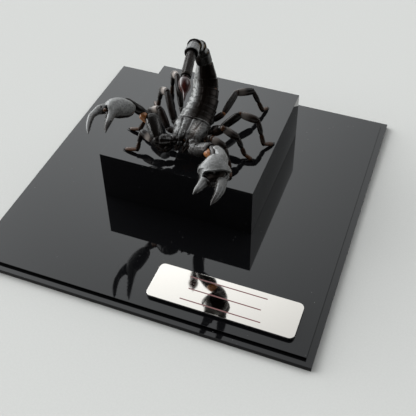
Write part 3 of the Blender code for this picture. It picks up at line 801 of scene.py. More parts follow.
def tail_parts():
    """Five segments, each with its keels and a flared rim, and the skin in the joints."""
    joints = np.array(TAIL_JOINTS)
    parts = []
    for number, (width, height, front, keels, grain, highlight_paint, dull) in enumerate(TAIL_SEGMENTS):
        rows = ((*joints[number], front * width, front * height),
                (*joints[number + 1], width, height))
        made, grid = limb(rows, ACROSS, RING_PROFILE, step=0.21, around=100, squareness=2.15,
                          keels=keels, tooth_spacing=1.0 + 0.12 * number, grain=(0.8, grain),
                          seed=40 + number, highlight_paint=highlight_paint, rub=2.0, dull=dull)
        parts += [made, hairs_on(grid[12:-14], 22, 80 + number, 0.8)]
    for number, joint in enumerate(joints):
        radius = 0.84 * TAIL_SEGMENTS[min(number, 4)][0]
        parts.append(joint_skin(joint, radius))
        if number < 4:          # a patch of tan skin shows at the left of these joints
            parts.append(joint_skin(joint + (0.66 * radius, 0.2, 0.4), 0.5 * radius, 0.7))
    return parts


def sting_parts():
    """The bulb and its curved point: an oval carried along one curve, with rows of low bumps."""
    rows = spline(STING_ROWS, 110)
    path, radius = rows[:, :3], rows[:, 3]
    run = run_along(path)
    share = (run / run[-1])[:, None]
    angles = full_turn(56)
    grid = sweep(path, ACROSS, radius * 1.02, radius * 0.94, radius * 1.04, angles)
    bulb = 1 - smooth(0.42, 0.62, share)
    ribs = 0.5 + 0.5 * np.cos(6 * angles)
    relief = bulb * (0.03 * ribs * grains(grid, 0.9, 71) + 0.05 * (ribs - 0.5))
    grid = grid + outward(grid, True) * relief[..., None]
    return [tube(grid, wear_and_highlight=0.04 * bulb, tip=smooth(0.60, 0.95, share)),
            hairs_on(grid[18:70], 60, 90, 1.6, (0, -0.2, 0))]


# ---- arms, claws and fingers ---------------------------------------------------------------------

def teeth(inner, run, small_height, large_height):
    """A ridge of small teeth, cut by a cosine, with a larger tooth every few millimetres."""
    small = 0.5 + 0.5 * np.cos(2 * math.pi * run / TOOTH_SPACING)
    large = hump((run / LARGE_TOOTH_SPACING) % 1.0, 0.5, 0.13)
    return hump(inner, 0, 0.20) * (0.10 + small_height * small + large_height * large)


def finger(rows, other, seed):
    """A claw's moving finger: an oval carried along its curve, flattened a little.

    The side facing the other finger has the teeth, the back has a low keel, and the tip is dark.
    """
    rows, facing = spline(rows, 150), spline(other, 150)
    path, radius = rows[:, :3], rows[:, 3]
    run = run_along(path)[:, None]
    share = run / run[-1]
    angles = full_turn(40)
    inner, outer = np.abs(turned(angles, 0.0)), np.abs(turned(angles, math.pi))
    grid = sweep(path, facing[:, :3] - path, radius, radius * 0.86, radius * 0.86, angles, 2.1)
    mouth = band(share, 0.10, 0.2, 0.90, 0.98)
    keel = 0.16 * hump(outer, 0, 0.35) * (1 - smooth(0.6, 0.9, share))
    side_ridges = 0.14 * hump(inner, 1.15, 0.16) * mouth
    rough = 0.13 * (1 - smooth(0.45, 0.85, share)) * smooth(0.5, 0.9, inner)
    relief = (teeth(inner, run, 0.12, 0.26) * mouth + keel + side_ridges
              + rough * grains(grid, 0.8, seed))
    grid = grid + outward(grid, True) * relief[..., None]
    wear_and_highlight = 0.60 * np.clip(0.30 + relief / 0.4, 0, 1) * (1 - smooth(0.40, 0.75, share))
    return tube(grid, wear_and_highlight=wear_and_highlight, tip=smooth(0.6, 0.85, share)), grid


def claw_parts(side, seed):
    """One arm: trochanter, femur, patella, palm, fixed and moving finger, joints and hairs."""
    points = [np.array(point, float) for point in ARMS[side]]
    parts = []
    for number, (width, height, keels, grain) in enumerate(ARM_SEGMENTS):
        start, end = points[number], points[number + 1]
        made, grid = limb(rows_between(start, end, width, height), np.cross(end - start, (0, 0, 1)),
                          LIMB_PROFILE, step=0.24, around=76, squareness=2.3, keels=keels,
                          tooth_spacing=1.0, grain=(0.85, grain), seed=seed + number, rub=0.6,
                          dull=ARM_DULL[side][number])
        parts += [made, hairs_on(grid[8:-8], 22, seed + 60 + number, 1.3)]
        if number:
            parts.append(joint_skin(start, 0.80 * ARM_SEGMENTS[number - 1][0]))
    parts += palm_parts(side, seed + 7)
    made, grid = finger(MOVING_FINGERS[side], PALMS[side][-FIXED_FINGER_ROWS:], seed + 21)
    parts += [made, hairs_on(grid[20:120], 30, seed + 81, 1.4)]
    parts.append(horn(WRIST_SKINS[side], 36, 40, soft=1.0, tip=0.0))
    # Dark pieces in the gaps round the moving finger's root: painted shade.
    parts += [horn(rows, 24, 30, tip=1.8) for rows in SHADE_NOTCHES[side]]
    place, radius, soft = FINGER_SKINS[side]
    parts.append(joint_skin(place, radius, soft))
    return parts


def lip_and_hollow(side, share, angles):
    """The raised lip over the moving finger's root, and 1 in the hollow under it."""
    start, middle, half, lean = LIPS[side]
    off = turned(angles, middle)
    edge = start + lean * off + 0.03 * (off / half) ** 2
    window = 1 - smooth(0.85, 1.1, np.abs(off) / half)
    lip = 0.16 * hump(share, edge - 0.008, 0.008) * window
    return lip, band(share, edge, edge + 0.014, HOLLOW_END, HOLLOW_END + 0.06) * window


def palm_marks(side, grid, share, angles, on_palm, inner, bumps, hollow, seed):
    """Where a claw is grey, from wear and painted light, and where it is dark and dull.

    Grey are the palm and the finger up to its dark tip, mottled by smooth noise, which is wear that
    also paints the palm's sheen; and the palm's rim, a painted highlight.  Dark are the hollow, the
    web between the fingers and the underside, which are painted shade, and the tip.
    """
    dark_from = DARK_TIPS[side]
    light = 1 - smooth(dark_from - 0.08, dark_from + 0.08, share)
    # Grey wear that also paints the palm's sheen.
    wear_and_highlight = (0.36 + PALM_WEAR_AND_SHEEN[side] * on_palm) * light
    wear_and_highlight = (wear_and_highlight + 0.16 * bumps * on_palm) * (0.62 + 0.70 * waves(grid, 0.9, seed + 5))
    # A painted highlight along the palm's rim.
    wear_and_highlight = wear_and_highlight + 0.55 * hump(turned(angles, HIGHLIGHT_RIMS[side]), 0, 0.28) * (1 - smooth(0.40, 0.55, share))
    # Painted shade: the hollow, the web between the fingers and the underside are dark and dull.
    web = hump(inner, 0, 0.8) * band(share, 0.57, 0.62, 0.68, 0.76)
    middle, half = SHADED_UNDERSIDES[side]
    under = hump(turned(angles, middle), 0, half) * band(share, 0.04, 0.10, 0.44, 0.62)
    dark = 1.9 * np.maximum(np.maximum(hollow, web), smooth(0.35, 0.75, under))
    dark = np.maximum(dark, 1.8 * smooth(dark_from - 0.02, dark_from + 0.08, share))
    return np.clip(wear_and_highlight, 0, 1) * (1 - hollow), dark


def palm_parts(side, seed):
    """A palm that runs on into its fixed finger, and the cone behind it, painted dark as shade.

    The palm is an oval carried along one curve, with a rounded start.  Its relief is a sum of
    strewn grains and a keel, which fade out along the finger, the finger's teeth and the lip;
    the hollow is cut into it.
    """
    rows = spline(PALMS[side], 215)
    path = rows[:, :3]
    share = np.linspace(0, 1, len(rows))[:, None]
    on_palm = 1 - smooth(FINGER_STARTS[side] - 0.06, FINGER_STARTS[side] + 0.10, share)
    sideways = unit(np.cross(np.gradient(path, axis=0), PALM_UP[side]))
    angles = full_turn(150)
    grid = sweep(path, sideways, rows[:, 3], rows[:, 4], 0.92 * rows[:, 4], angles, 2.2)
    round_start = np.sqrt(np.clip(1 - (1 - np.clip(share / 0.05, 0, 1)) ** 2, 0.02, 1))
    grid = path[:, None] + (grid - path[:, None]) * round_start[..., None]
    _, across, above = sides(path, sideways)
    facing = spline(MOVING_FINGERS[side], len(rows))[:, :3] - path
    teeth_at = np.arctan2((facing * above).sum(-1), (facing * across).sum(-1))[:, None]
    inner = np.abs(turned(angles, teeth_at))
    bumps = grains(grid, 0.75, seed)
    rough = (0.09 * on_palm + 0.04 * (1 - smooth(0.8, 0.95, share))) * smooth(0.02, 0.08, share)
    from_above = np.abs(turned(angles, math.pi / 2))
    keel = 0.22 * hump(from_above, 1.6, 0.10) * on_palm * smooth(0.05, 0.15, share)
    toothed = band(share, 0.62, 0.70, 0.93, 0.985)
    lip, hollow = lip_and_hollow(side, share, angles)
    toothed = toothed * teeth(inner, run_along(path)[:, None], 0.14, 0.36)
    relief = rough * bumps + keel + lip + toothed
    relief = relief * (1 - hollow) - HOLLOW_DEPTH * hollow
    grid = grid + outward(grid, True) * relief[..., None]
    wear_and_highlight, dark = palm_marks(side, grid, share, angles, on_palm, inner, bumps, hollow, seed)
    # The cone behind the palm is dark and dull: painted shade.
    return [tube(grid, wear_and_highlight=wear_and_highlight, tip=dark), hairs_on(grid[30:200], 90, seed + 70, 1.5),
            horn(PALM_ROOTS[side], 44, 50, tip=1.6)]


# ---- legs ----------------------------------------------------------------------------------------

def leg_parts(name, seed):
    """A leg's trochanter, femur, patella, tibia, basitarsus and foot, with claws and hairs."""
    root, hip, knee, top, ankle, toe = (np.array(point, float) for point in LEGS[name])
    on_left = root[0] > BODY_X
    side = unit(np.cross(toe - root, (0, 0, 1)))
    joints = (root + BASE_SHARE * (hip - root), hip, knee, top, top + SHIN_SPLIT * (ankle - top),
              ankle, toe)
    # Painted highlights on the knees: the front of each patella is grey, more on the right legs.
    highlight_paint = (0, 0, 0.35 if on_left else 0.9, 0.05, 0, 0)
    skins = (0, 0.8, 0.5, 0, 0, 0) if on_left else (0,) * 6
    parts = []
    for number, (width, height, taper, keels, grain, soft, hair_count) in enumerate(LEG_SEGMENTS):
        start, end = joints[number], joints[number + 1]
        rows = rows_between(start, end, width, height, taper)
        made, grid = limb(rows, side, LIMB_PROFILE, step=0.26, around=36, keels=keels,
                          tooth_spacing=0.8, grain=(0.7, grain), seed=seed + number,
                          highlight_paint=highlight_paint[number], highlight_paint_to=0.45, rub=1.0, soft=soft)
        lean = unit(end - start) * 0.5 - (0, 0, 0.3)
        parts += [made, hairs_on(grid[5:-5], hair_count, seed + 50 + number, 1.2, lean)]
        if number:
            radius = 0.86 * min(width, LEG_SEGMENTS[number - 1][0])
            parts.append(joint_skin(start, radius, skins[number]))
    forward = unit(toe - ankle)
    for turn in (-1, 1):
        parts.append(horn(((*(toe - 0.5 * forward), 0.42),
                           (*(toe + 0.7 * forward + turn * 0.45 * side + (0, 0, 0.25)), 0.32),
                           (*(toe + 1.5 * forward + turn * 0.75 * side), 0.20),
                           (*(toe + 1.9 * forward + turn * 0.85 * side - (0, 0, 0.5)), 0.04)),
                          10, 14, tip=0.5))
    parts.append(horn(((*(toe + 0.2 * forward), 0.35), (*(toe + 1.1 * forward - (0, 0, 0.4)), 0.05)),
                      8, 5, soft=0.4, tip=0.0))
    return parts


# ---- display -------------------------------------------------------------------------------------

LABEL_BEVEL = 0.12
FACE_RING = 0.12                    # how far inside its edge a flat face has a ring of points

def slab(node, corner, bevel):
    """A flat sheet or block in its node's box.

    A rounded rectangle, four quarter circles joined by straight sides, is carried down a profile
    that rounds the top and bottom edges with quarter circles of their own.  Tip marks how steep
    the surface is: 0 on the flat faces and 1 on the sides.
    """
    low, high = (np.array(end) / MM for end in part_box(node))
    middle, half = (low + high) / 2, (high - low) / 2
    bend = np.linspace(0, math.pi / 2, 6)
    flat = [bevel + FACE_RING]
    inset = np.concatenate([flat, bevel * (1 - np.sin(bend)), bevel * (1 - np.cos(bend)), flat])
    drop = np.concatenate([[0.0], bevel * (1 - np.cos(bend))])
    height = np.concatenate([high[2] - drop, low[2] + drop[::-1]]) - BLOCK_TOP
    steep = np.concatenate([[0], np.sin(bend), np.cos(bend), [0]])[:, None]
    quarter = np.linspace(0, math.pi / 2, 9)
    turn = np.concatenate([quarter + k * math.pi / 2 for k in range(4)])
    signs = np.repeat([(1, 1), (-1, 1), (-1, -1), (1, -1)], len(quarter), axis=0).T
    radius = np.maximum(corner - inset, 0.01)[:, None]
    extra = np.minimum(corner - inset, 0)[:, None]
    x, y = (middle[k] + signs[k] * (half[k] - corner + extra) + radius * (np.cos, np.sin)[k](turn)
            for k in (0, 1))
    return tube(np.stack([x, y, height[:, None] + 0 * turn], -1), tip=steep)


# ================================ materials ===================================================

LABEL_RULES = (                     # middle and half length in x, and place in y, from the centre
    (-0.6, 23.4, 8.2), (-0.2, 21.6, 0.0), (-0.2, 23.8, -8.0),
)
RULE_HALF_WIDTH, RULE_BLUR, RULE_END_BLUR = 0.30, 0.12, 0.15
MIRROR_FROM, MIRROR_TO = 0.6, 0.4   # how deep under the label's top its sides turn into mirror
SIDE_SHADE = 0.8                 # how metallic, and so how dark, the sheets' sides are: painted shade on the sides
ACRYLIC_IOR = 1.49
ACRYLIC_BUMP = 0.00002


def add(tree, kind, *values, out=0, **options):
    """Adds a shader node: options are its own settings, values go to its inputs in order."""
    made = tree.nodes.new("ShaderNode" + kind)
    for option, value in options.items():
        setattr(made, option, value)
    for socket, value in zip(made.inputs, values):
        if isinstance(value, bpy.types.NodeSocket):
            tree.links.new(value, socket)
        elif value is not None:
            socket.default_value = value
    return made.outputs[out]


def maths(tree, operation, *values, clamp=False):
    """One step of arithmetic on sockets and numbers."""
    return add(tree, "Math", *values, operation=operation, use_clamp=clamp)


def blend_colour(tree, share, first, second):
    """A colour between two others."""
    return add(tree, "Mix", share, None, None, None, None, None, first, second, out=2,
               data_type="RGBA")


def step(tree, value, low, high, start=0.0, end=1.0):
    """A smooth step from start at low to end at high."""
    return add(tree, "MapRange", value, low, high, start, end, interpolation_type="SMOOTHSTEP")


def noise(tree, place, scale, detail=3.0, rough=0.5):
    """Smooth noise from 0 to 1; scale is its waves in a metre."""
    return add(tree, "TexNoise", place, None, scale, detail, rough)


def new_group(name, inputs, outputs):
    """A shader node group with named sockets, and its inner ends."""
    group = bpy.data.node_groups.new(name, "ShaderNodeTree")
    for titles, way in ((inputs, "INPUT"), (outputs, "OUTPUT")):
        for title, kind in titles:
            group.interface.new_socket(title, in_out=way, socket_type="NodeSocket" + kind)
    taken, given = group.nodes.new("NodeGroupInput"), group.nodes.new("NodeGroupOutput")
    return group, taken.outputs, given.inputs


def filled(group, given, **sockets):
    """The group, with a socket linked to each of its outputs."""
    for title, socket in sockets.items():
        group.links.new(socket, given[title])
    return group


def new_material(name):
    """A material, its node tree and its shader."""
    material = bpy.data.materials.new(name)
    material.use_nodes = True
    return material, material.node_tree, material.node_tree.nodes["Principled BSDF"]


def cuticle_group():
    """Dried cuticle: mottled dark and brown, grey wear and painted highlights, joint skin, dust, and
    dark tips that also carry painted shade.
    """
    group, taken, given = new_group("cuticle_finish", (
        ("Place", "Vector"), ("Dark", "Color"), ("Brown", "Color"), ("Skin", "Color"),
        ("Rubbed_and_highlight", "Color"), ("Tip Colour", "Color"), ("Base Roughness", "Float"),
        ("Dust", "Float"), ("Soft", "Float"), ("Wear_and_highlight", "Float"), ("Tip", "Float"),
    ), (("Color", "Color"), ("Roughness", "Float"), ("Relief", "Float"), ("Dull", "Float")))
    place = taken["Place"]
    slow = noise(group, place, 120.0, 3.0, 0.55)
    fine = noise(group, place, 1500.0, 5.0, 0.6)
    pits = add(group, "TexVoronoi", place, None, 1300.0)
    brown = step(group, maths(group, "MULTIPLY_ADD", fine, 0.5, slow), 0.62, 0.98, 0.0, 0.85)
    colour = blend_colour(group, brown, taken["Dark"], taken["Brown"])
    # Grey wear, and painted highlights, mixed in by the grey mark.
    rubbed_and_highlight = maths(group, "MULTIPLY", taken["Wear_and_highlight"], 0.65)
    colour = blend_colour(group, rubbed_and_highlight, colour, taken["Rubbed_and_highlight"])
    skin = blend_colour(group, step(group, fine, 0.35, 0.7, 0.55, 0.0), taken["Skin"], taken["Dark"])
    colour = blend_colour(group, taken["Soft"], colour, skin)
    settled = step(group, noise(group, place, 420.0, 8.0, 0.7), 0.50, 0.74)
    settled = maths(group, "MULTIPLY", settled, taken["Dust"])
    colour = blend_colour(group, settled, colour, (0.30, 0.28, 0.25, 1.0))
    # Dark tips, and painted shade where the tip mark is set.
    tip = maths(group, "MULTIPLY", taken["Tip"], 0.95, clamp=True)
    colour = blend_colour(group, tip, colour, taken["Tip Colour"])
    rough = maths(group, "SUBTRACT", taken["Base Roughness"], 0.13)
    for amount, change in ((fine, 0.26), (settled, 0.3), (taken["Soft"], 0.10),
                           (taken["Wear_and_highlight"], 0.10), (taken["Tip"], -0.22)):
        rough = maths(group, "MULTIPLY_ADD", amount, change, rough)
    dull = maths(group, "SUBTRACT", taken["Tip"], 1.0, clamp=True)
    rough = maths(group, "MULTIPLY_ADD", dull, 0.6, rough, clamp=True)
    low = maths(group, "MULTIPLY", step(group, pits, 0.05, 0.55), -0.5)
    relief = maths(group, "MULTIPLY_ADD", fine, 0.6, low)
    hard = maths(group, "MULTIPLY_ADD", taken["Tip"], -0.9, 1.0)
    relief = maths(group, "MULTIPLY", relief, hard)
    return filled(group, given, Color=colour, Roughness=rough, Relief=relief, Dull=dull)


def polish_group():
    """Polished acrylic: hairline marks, a few specks of dust and patches a little less polished."""
    group, taken, given = new_group("polish_marks", (
        ("Place", "Vector"), ("Tint", "Color"), ("Base Roughness", "Float"), ("Dust", "Float"),
    ), (("Color", "Color"), ("Roughness", "Float"), ("Relief", "Float")))
    place = taken["Place"]
    bent = add(group, "Mapping", place, None, (0.0, 0.0, 0.6), (1.0, 0.05, 1.0))
    lines = step(group, noise(group, bent, 2600.0, 2.0, 0.5), 0.66, 0.74)
    patches = step(group, noise(group, place, 35.0, 4.0, 0.6), 0.35, 0.7)
    specks = add(group, "TexVoronoi", place, None, 260.0)
    chance = noise(group, place, 60.0, 2.0, 0.5)
    specks, kept = step(group, specks, 0.055, 0.03), step(group, chance, 0.5, 0.62)
    specks = maths(group, "MULTIPLY", specks, kept)
    specks = maths(group, "MULTIPLY", specks, taken["Dust"])
    colour = blend_colour(group, specks, taken["Tint"], (0.35, 0.35, 0.34, 1.0))
    rough = maths(group, "MULTIPLY_ADD", patches, 0.02, taken["Base Roughness"])
    rough = maths(group, "MULTIPLY_ADD", lines, 0.03, rough)
    rough = maths(group, "MULTIPLY_ADD", specks, 0.5, rough, clamp=True)
    relief = maths(group, "MULTIPLY_ADD", specks, 1.0, maths(group, "MULTIPLY", lines, -0.05))
    return filled(group, given, Color=colour, Roughness=rough, Relief=relief)


def shaded(name, group, values, marks=(), bump=0.0002, ior=1.5):
    """A material: a finish group read at the object's own coordinates, feeding one shader.

    Values fill the group's inputs, and marks are point attributes linked to inputs of those
    names.  Bump is the relief's depth in metres.
    """
    material, tree, shader = new_material(name)
    finish = tree.nodes.new("ShaderNodeGroup")
    finish.node_tree = group
    tree.links.new(add(tree, "TexCoord", out="Object"), finish.inputs["Place"])
    for title, value in values.items():
        finish.inputs[title].default_value = value
    for mark in marks:
        tree.links.new(read_mark(tree, mark), finish.inputs[mark.capitalize()])
    tree.links.new(finish.outputs["Color"], shader.inputs["Base Color"])
    tree.links.new(finish.outputs["Roughness"], shader.inputs["Roughness"])
    uneven = tree.nodes.new("ShaderNodeBump")
    uneven.inputs["Distance"].default_value = bump
    tree.links.new(finish.outputs["Relief"], uneven.inputs["Height"])
    tree.links.new(uneven.outputs["Normal"], shader.inputs["Normal"])
    shader.inputs["IOR"].default_value = ior
    return material


def read_mark(tree, mark):
    """A point attribute's value."""
    return add(tree, "Attribute", attribute_name=mark, out="Fac")


def colour4(colour):
    """A colour with full opacity, as sockets take it."""
    return (*colour, 1.0)


def cuticle(name, look, dark, brown, rubbed_and_highlight, roughness, dust, tip_colour=(0.006, 0.004, 0.003),
            bump=0.00006, ior=1.5, skin=None):
    """A piece's cuticle, from the shared group, whose dull places are metallic, so nearly black."""
    group = bpy.data.node_groups.get("cuticle_finish") or cuticle_group()
    material = shaded(name, group, {
        "Dark": colour4(dark), "Brown": colour4(brown), "Skin": colour4(skin or look.skin_colour),
        "Rubbed_and_highlight": colour4(rubbed_and_highlight), "Tip Colour": colour4(tip_colour), "Base Roughness": roughness,
        "Dust": dust * look.dust,
    }, MARKS, bump, ior)
    tree = material.node_tree
    dull = next(node for node in tree.nodes if node.type == "GROUP").outputs["Dull"]
    tree.links.new(dull, tree.nodes["Principled BSDF"].inputs["Metallic"])
    return material


def label_material(group, look):
    """Mirror-finished metal with black sides and three plain ruled lines, each a box in x and y."""
    material = shaded("label_mirror_finish", group, {
        "Tint": (0.635, 0.605, 0.565, 1.0), "Base Roughness": 0.03, "Dust": 0.5}, bump=ACRYLIC_BUMP)
    tree = material.node_tree
    shader = tree.nodes["Principled BSDF"]
    place = add(tree, "TexCoord", out="Object")
    apart = tree.nodes.new("ShaderNodeSeparateXYZ")
    tree.links.new(place, apart.inputs[0])
    x, y, z = apart.outputs
    low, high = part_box("label_plate")
    centre = (low + high) / 2
    ink = None
    for middle, half_length, shift in LABEL_RULES:
        off_y = maths(tree, "ABSOLUTE", maths(tree, "SUBTRACT", y, centre.y + shift * MM))
        off_x = maths(tree, "ABSOLUTE", maths(tree, "SUBTRACT", x, centre.x + middle * MM))
        line = maths(tree, "MULTIPLY",
                     step(tree, off_y, (RULE_HALF_WIDTH + RULE_BLUR) * MM, RULE_HALF_WIDTH * MM),
                     step(tree, off_x, (half_length + RULE_END_BLUR) * MM, half_length * MM))
        ink = line if ink is None else maths(tree, "MAXIMUM", ink, line)
    top = step(tree, z, high.z - MIRROR_FROM * MM, high.z - MIRROR_TO * MM)
    base = shader.inputs["Base Color"].links[0].from_socket
    colour = blend_colour(tree, top, (0.01, 0.01, 0.011, 1.0), base)
    colour = blend_colour(tree, ink, colour, colour4(look.rule_colour))
    tree.links.new(colour, shader.inputs["Base Color"])
    metal = maths(tree, "MULTIPLY", top, maths(tree, "SUBTRACT", 1.0, ink))
    tree.links.new(metal, shader.inputs["Metallic"])
    rough = shader.inputs["Roughness"].links[0].from_socket
    tree.links.new(maths(tree, "MULTIPLY_ADD", ink, 0.35, rough), shader.inputs["Roughness"])
    return material


# ================================ stage =======================================================

CAMERA_PLACE = (0.13536, -0.32074, 0.34818)
CAMERA_AHEAD = (-0.25904, 0.70358, -0.66172)
CAMERA_RIGHT = (0.93848, 0.34532, -0.0002)
CAMERA_SHIFT = (-0.0350, -0.1575)
CAMERA_LENS, CAMERA_SENSOR = 63.82, 36.0        # in millimetres
FLOOR_SIDES = 96
FLOOR_RADII = (0.02, 0.4, 1.2, 3.0)             # in metres
SEEN_LEVEL = 0.74                   # the room's brightness where the camera sees it

# Soft lobes of light in the room: direction, sharpness, strength.
LOBES = (
    ((-0.35, 1.0, 0.40), 3.0, 1.5),
    ((-0.29, 0.69, 0.66), 45.0, 1.1),
    ((-0.92, 0.12, 0.40), 8.0, 6.2),
    ((-0.92, -0.28, 0.18), 12.0, 5.0),
    ((-0.80, 0.58, 0.10), 16.0, 4.0),
    ((0.62, 0.45, 0.62), 14.0, 2.6),
    ((0.0, 0.0, 1.0), 2.0, 0.05),
)
ROOM_FILL = 0.02


def build_room(strength):
    """A room of soft light: the sum of cosine lobes, each the cosine to its direction to a power."""
    world = bpy.data.worlds.new("studio_room")
    world.use_nodes = True
    tree = world.node_tree
    place = add(tree, "TexCoord", out="Generated")
    total = ROOM_FILL
    for direction, sharpness, power in LOBES:
        facing = add(tree, "VectorMath", place, tuple(Vector(direction).normalized()), out="Value",
                     operation="DOT_PRODUCT")
        lobe = maths(tree, "POWER", maths(tree, "MAXIMUM", facing, 0.0), sharpness)
        total = maths(tree, "MULTIPLY_ADD", lobe, power, total)
    seen = add(tree, "LightPath", out="Is Camera Ray")
    level = add(tree, "Mix", seen, None, maths(tree, "MULTIPLY", total, strength), SEEN_LEVEL,
                data_type="FLOAT")
    light = tree.nodes["Background"]
    light.inputs["Color"].default_value = (0.955, 0.985, 1.0, 1.0)
    tree.links.new(level, light.inputs["Strength"])
    return world


def build_floor(look):
    """A plain round floor under the display."""
    turns = full_turn(FLOOR_SIDES)
    radii = np.array(FLOOR_RADII)[:, None] / MM
    x, y = radii * np.cos(turns), radii * np.sin(turns)
    grid = np.stack([x, y, np.full_like(x, -BLOCK_TOP)], -1)
    disc = tube(grid[::-1])
    disc["triangles"] = disc["triangles"][FLOOR_SIDES:]     # without the fan across the outer ring
    mesh = mesh_of("floor", [disc])
    placed("floor", mesh)
    material, tree, shader = new_material("floor_paper")
    grain = noise(tree, add(tree, "TexCoord", out="Object"), 900.0)
    darker = colour4(0.97 * part for part in look.floor_colour)
    colour = blend_colour(tree, step(tree, grain, 0.3, 0.7), colour4(look.floor_colour), darker)
    tree.links.new(colour, shader.inputs["Base Color"])
    shader.inputs["Roughness"].default_value = 0.9
    shader.inputs["Specular IOR Level"].default_value = 0.1
    mesh.materials.append(material)


def build_camera():
    """The camera at the photograph's place: its axes are right, up and back."""
    ahead, right = Vector(CAMERA_AHEAD).normalized(), Vector(CAMERA_RIGHT).normalized()
    up = right.cross(ahead).normalized()
    data = bpy.data.cameras.new("camera")
    data.lens, data.sensor_width = CAMERA_LENS, CAMERA_SENSOR
    data.shift_x, data.shift_y = CAMERA_SHIFT
    data.clip_start, data.clip_end = 0.01, 20.0
    camera = placed("camera", data)
    turn = Matrix((right, up, -ahead)).transposed().to_4x4()
    camera.matrix_world = Matrix.Translation(CAMERA_PLACE) @ turn
    bpy.context.scene.camera = camera


# ================================ add-on ======================================================

def colour_setting(name, description, default):
    """A colour in linear light."""
    return bpy.props.FloatVectorProperty(name=name, description=description, subtype="COLOR",
                                         size=3, min=0.0, max=1.0, default=default)


def amount_setting(name, description, default):
    """A share from 0 to 1."""
    return bpy.props.FloatProperty(name=name, description=description, subtype="FACTOR",
                                   min=0.0, max=1.0, default=default)


def length_setting(name, description, default):
    """A length in metres."""
    return bpy.props.FloatProperty(name=name, description=description, subtype="DISTANCE",
                                   unit="LENGTH", min=0.0, default=default)


class ScorpionLook(bpy.types.PropertyGroup):
    """Colours and amounts of the animal's finish."""
    body_colour: colour_setting("Body", "Dark colour of the body", (0.0030, 0.0027, 0.0025))
    tail_colour: colour_setting("Tail", "Dark colour of the tail", (0.0030, 0.0027, 0.0025))
    claw_colour: colour_setting("Claws", "Dark colour of arms and claws", (0.006, 0.0057, 0.0055))
    leg_colour: colour_setting("Legs", "Dark colour of the legs", (0.0030, 0.0023, 0.0020))
    sting_colour: colour_setting("Sting", "Dark red of the sting bulb", (0.017, 0.002, 0.002))
    # The four greys below are wear and dust, and they also paint highlights and sheen.
    body_dust_and_highlight: colour_setting("Rubbed body", "Grey of its dusty places", (0.40, 0.40, 0.39))
    tail_wear_and_highlight: colour_setting("Rubbed tail", "Grey of its rubbed keels", (0.13, 0.13, 0.127))
    claw_wear_and_highlight: colour_setting("Rubbed claws", "Grey of the palms", (0.19, 0.19, 0.185))
    leg_wear_and_highlight: colour_setting("Rubbed legs", "Pale grey of the knees", (0.36, 0.31, 0.28))
    skin_colour: colour_setting("Joint skin", "Orange brown of the joint skin", (0.36, 0.12, 0.022))
    dust: amount_setting("Dust", "Amount of settled dust", 0.10)


class DisplayLook(bpy.types.PropertyGroup):
    """Sizes and colours of the block, its base and its label."""
    acrylic_colour: colour_setting("Acrylic", "Colour of block and base", (0.004, 0.004, 0.0045))
    rule_colour: colour_setting("Ruled lines", "Plum brown of the lines", (0.16, 0.055, 0.055))
    polish: amount_setting("Roughness", "Roughness of the polished acrylic", 0.025)
    edge: length_setting("Edge", "Radius of the acrylic's polished edges", 0.00002)
    label_corner: length_setting("Label corner", "Radius of the label's corners", 0.0032)
    floor_colour: colour_setting("Floor", "Colour of the plain floor", (0.565, 0.56, 0.54))
    light: bpy.props.FloatProperty(name="Light", description="Strength of the room's soft light",
                                   min=0.0, default=1.0)


class SCORPION_OT_stage(bpy.types.Operator):
    """Build the floor, the room's light and the camera"""
    bl_idname = "scorpion.stage"
    bl_label = "Build stage"

    def execute(self, context):
        look = context.scene.display_look
        build_floor(look)
        context.scene.world = build_room(look.light)
        build_camera()
        context.scene.view_settings.view_transform = "Standard"
        return {"FINISHED"}


class SCORPION_OT_display(bpy.types.Operator):
    """Build the block, the two sheets of its base and the label plate"""
    bl_idname = "scorpion.display"
    bl_label = "Build display"

    def execute(self, context):
        look = context.scene.display_look
        polish = polish_group()
        edge = look.edge / MM
        values = {"Tint": colour4(look.acrylic_colour), "Base Roughness": look.polish, "Dust": 0.6}
        base = shaded("base_acrylic_finish", polish, values, bump=ACRYLIC_BUMP, ior=ACRYLIC_IOR)
        block = shaded("block_acrylic_finish", polish, values, bump=ACRYLIC_BUMP, ior=ACRYLIC_IOR)
        tree = base.node_tree
        # The sheets' sides are painted dark as shade.
        steep = maths(tree, "MULTIPLY", read_mark(tree, "tip"), SIDE_SHADE)
        tree.links.new(steep, tree.nodes["Principled BSDF"].inputs["Metallic"])
        for node, name, material, slot in (
                ("base_lower_sheet", "lower_sheet_polished", base, "base_acrylic"),
                ("base_upper_sheet", "upper_sheet_polished", base, "base_acrylic"),
                ("display_block", "block_polished", block, "block_acrylic")):
            piece(name, [slab(node, 3 * edge, edge)], material, node)
        label = [slab("label_plate", look.label_corner / MM, LABEL_BEVEL)]
        mirror = label_material(polish, look)
        piece("label_plate_ruled", label, mirror, "label_plate")
        return {"FINISHED"}


class SCORPION_OT_body(bpy.types.Operator):
    """Build the carapace, the back and belly plates, the skin of the flanks and the jaws"""
    bl_idname = "scorpion.body"
    bl_label = "Build body"

    def execute(self, context):
        look = context.scene.scorpion_look
        finish = cuticle("body_cuticle", look, look.body_colour, (0.012, 0.007, 0.005),
                         look.body_dust_and_highlight, roughness=0.16, dust=0.25, bump=0.00002, ior=1.30)
        surfaces = carapace_parts() + tergite_parts() + underside_parts() + mouth_parts()
        piece("body_plated", surfaces, finish, "scorpion_body")
        return {"FINISHED"}


class SCORPION_OT_tail(bpy.types.Operator):
    """Build the five keeled segments of the tail"""
    bl_idname = "scorpion.tail"
    bl_label = "Build tail"

    def execute(self, context):
        look = context.scene.scorpion_look
        finish = cuticle("tail_cuticle", look, look.tail_colour, (0.012, 0.008, 0.006),
                         look.tail_wear_and_highlight, roughness=0.20, dust=0.7, bump=0.00004, ior=1.32,
                         skin=(0.42, 0.25, 0.09))
        piece("tail_keeled", tail_parts(), finish, "tail")
        return {"FINISHED"}


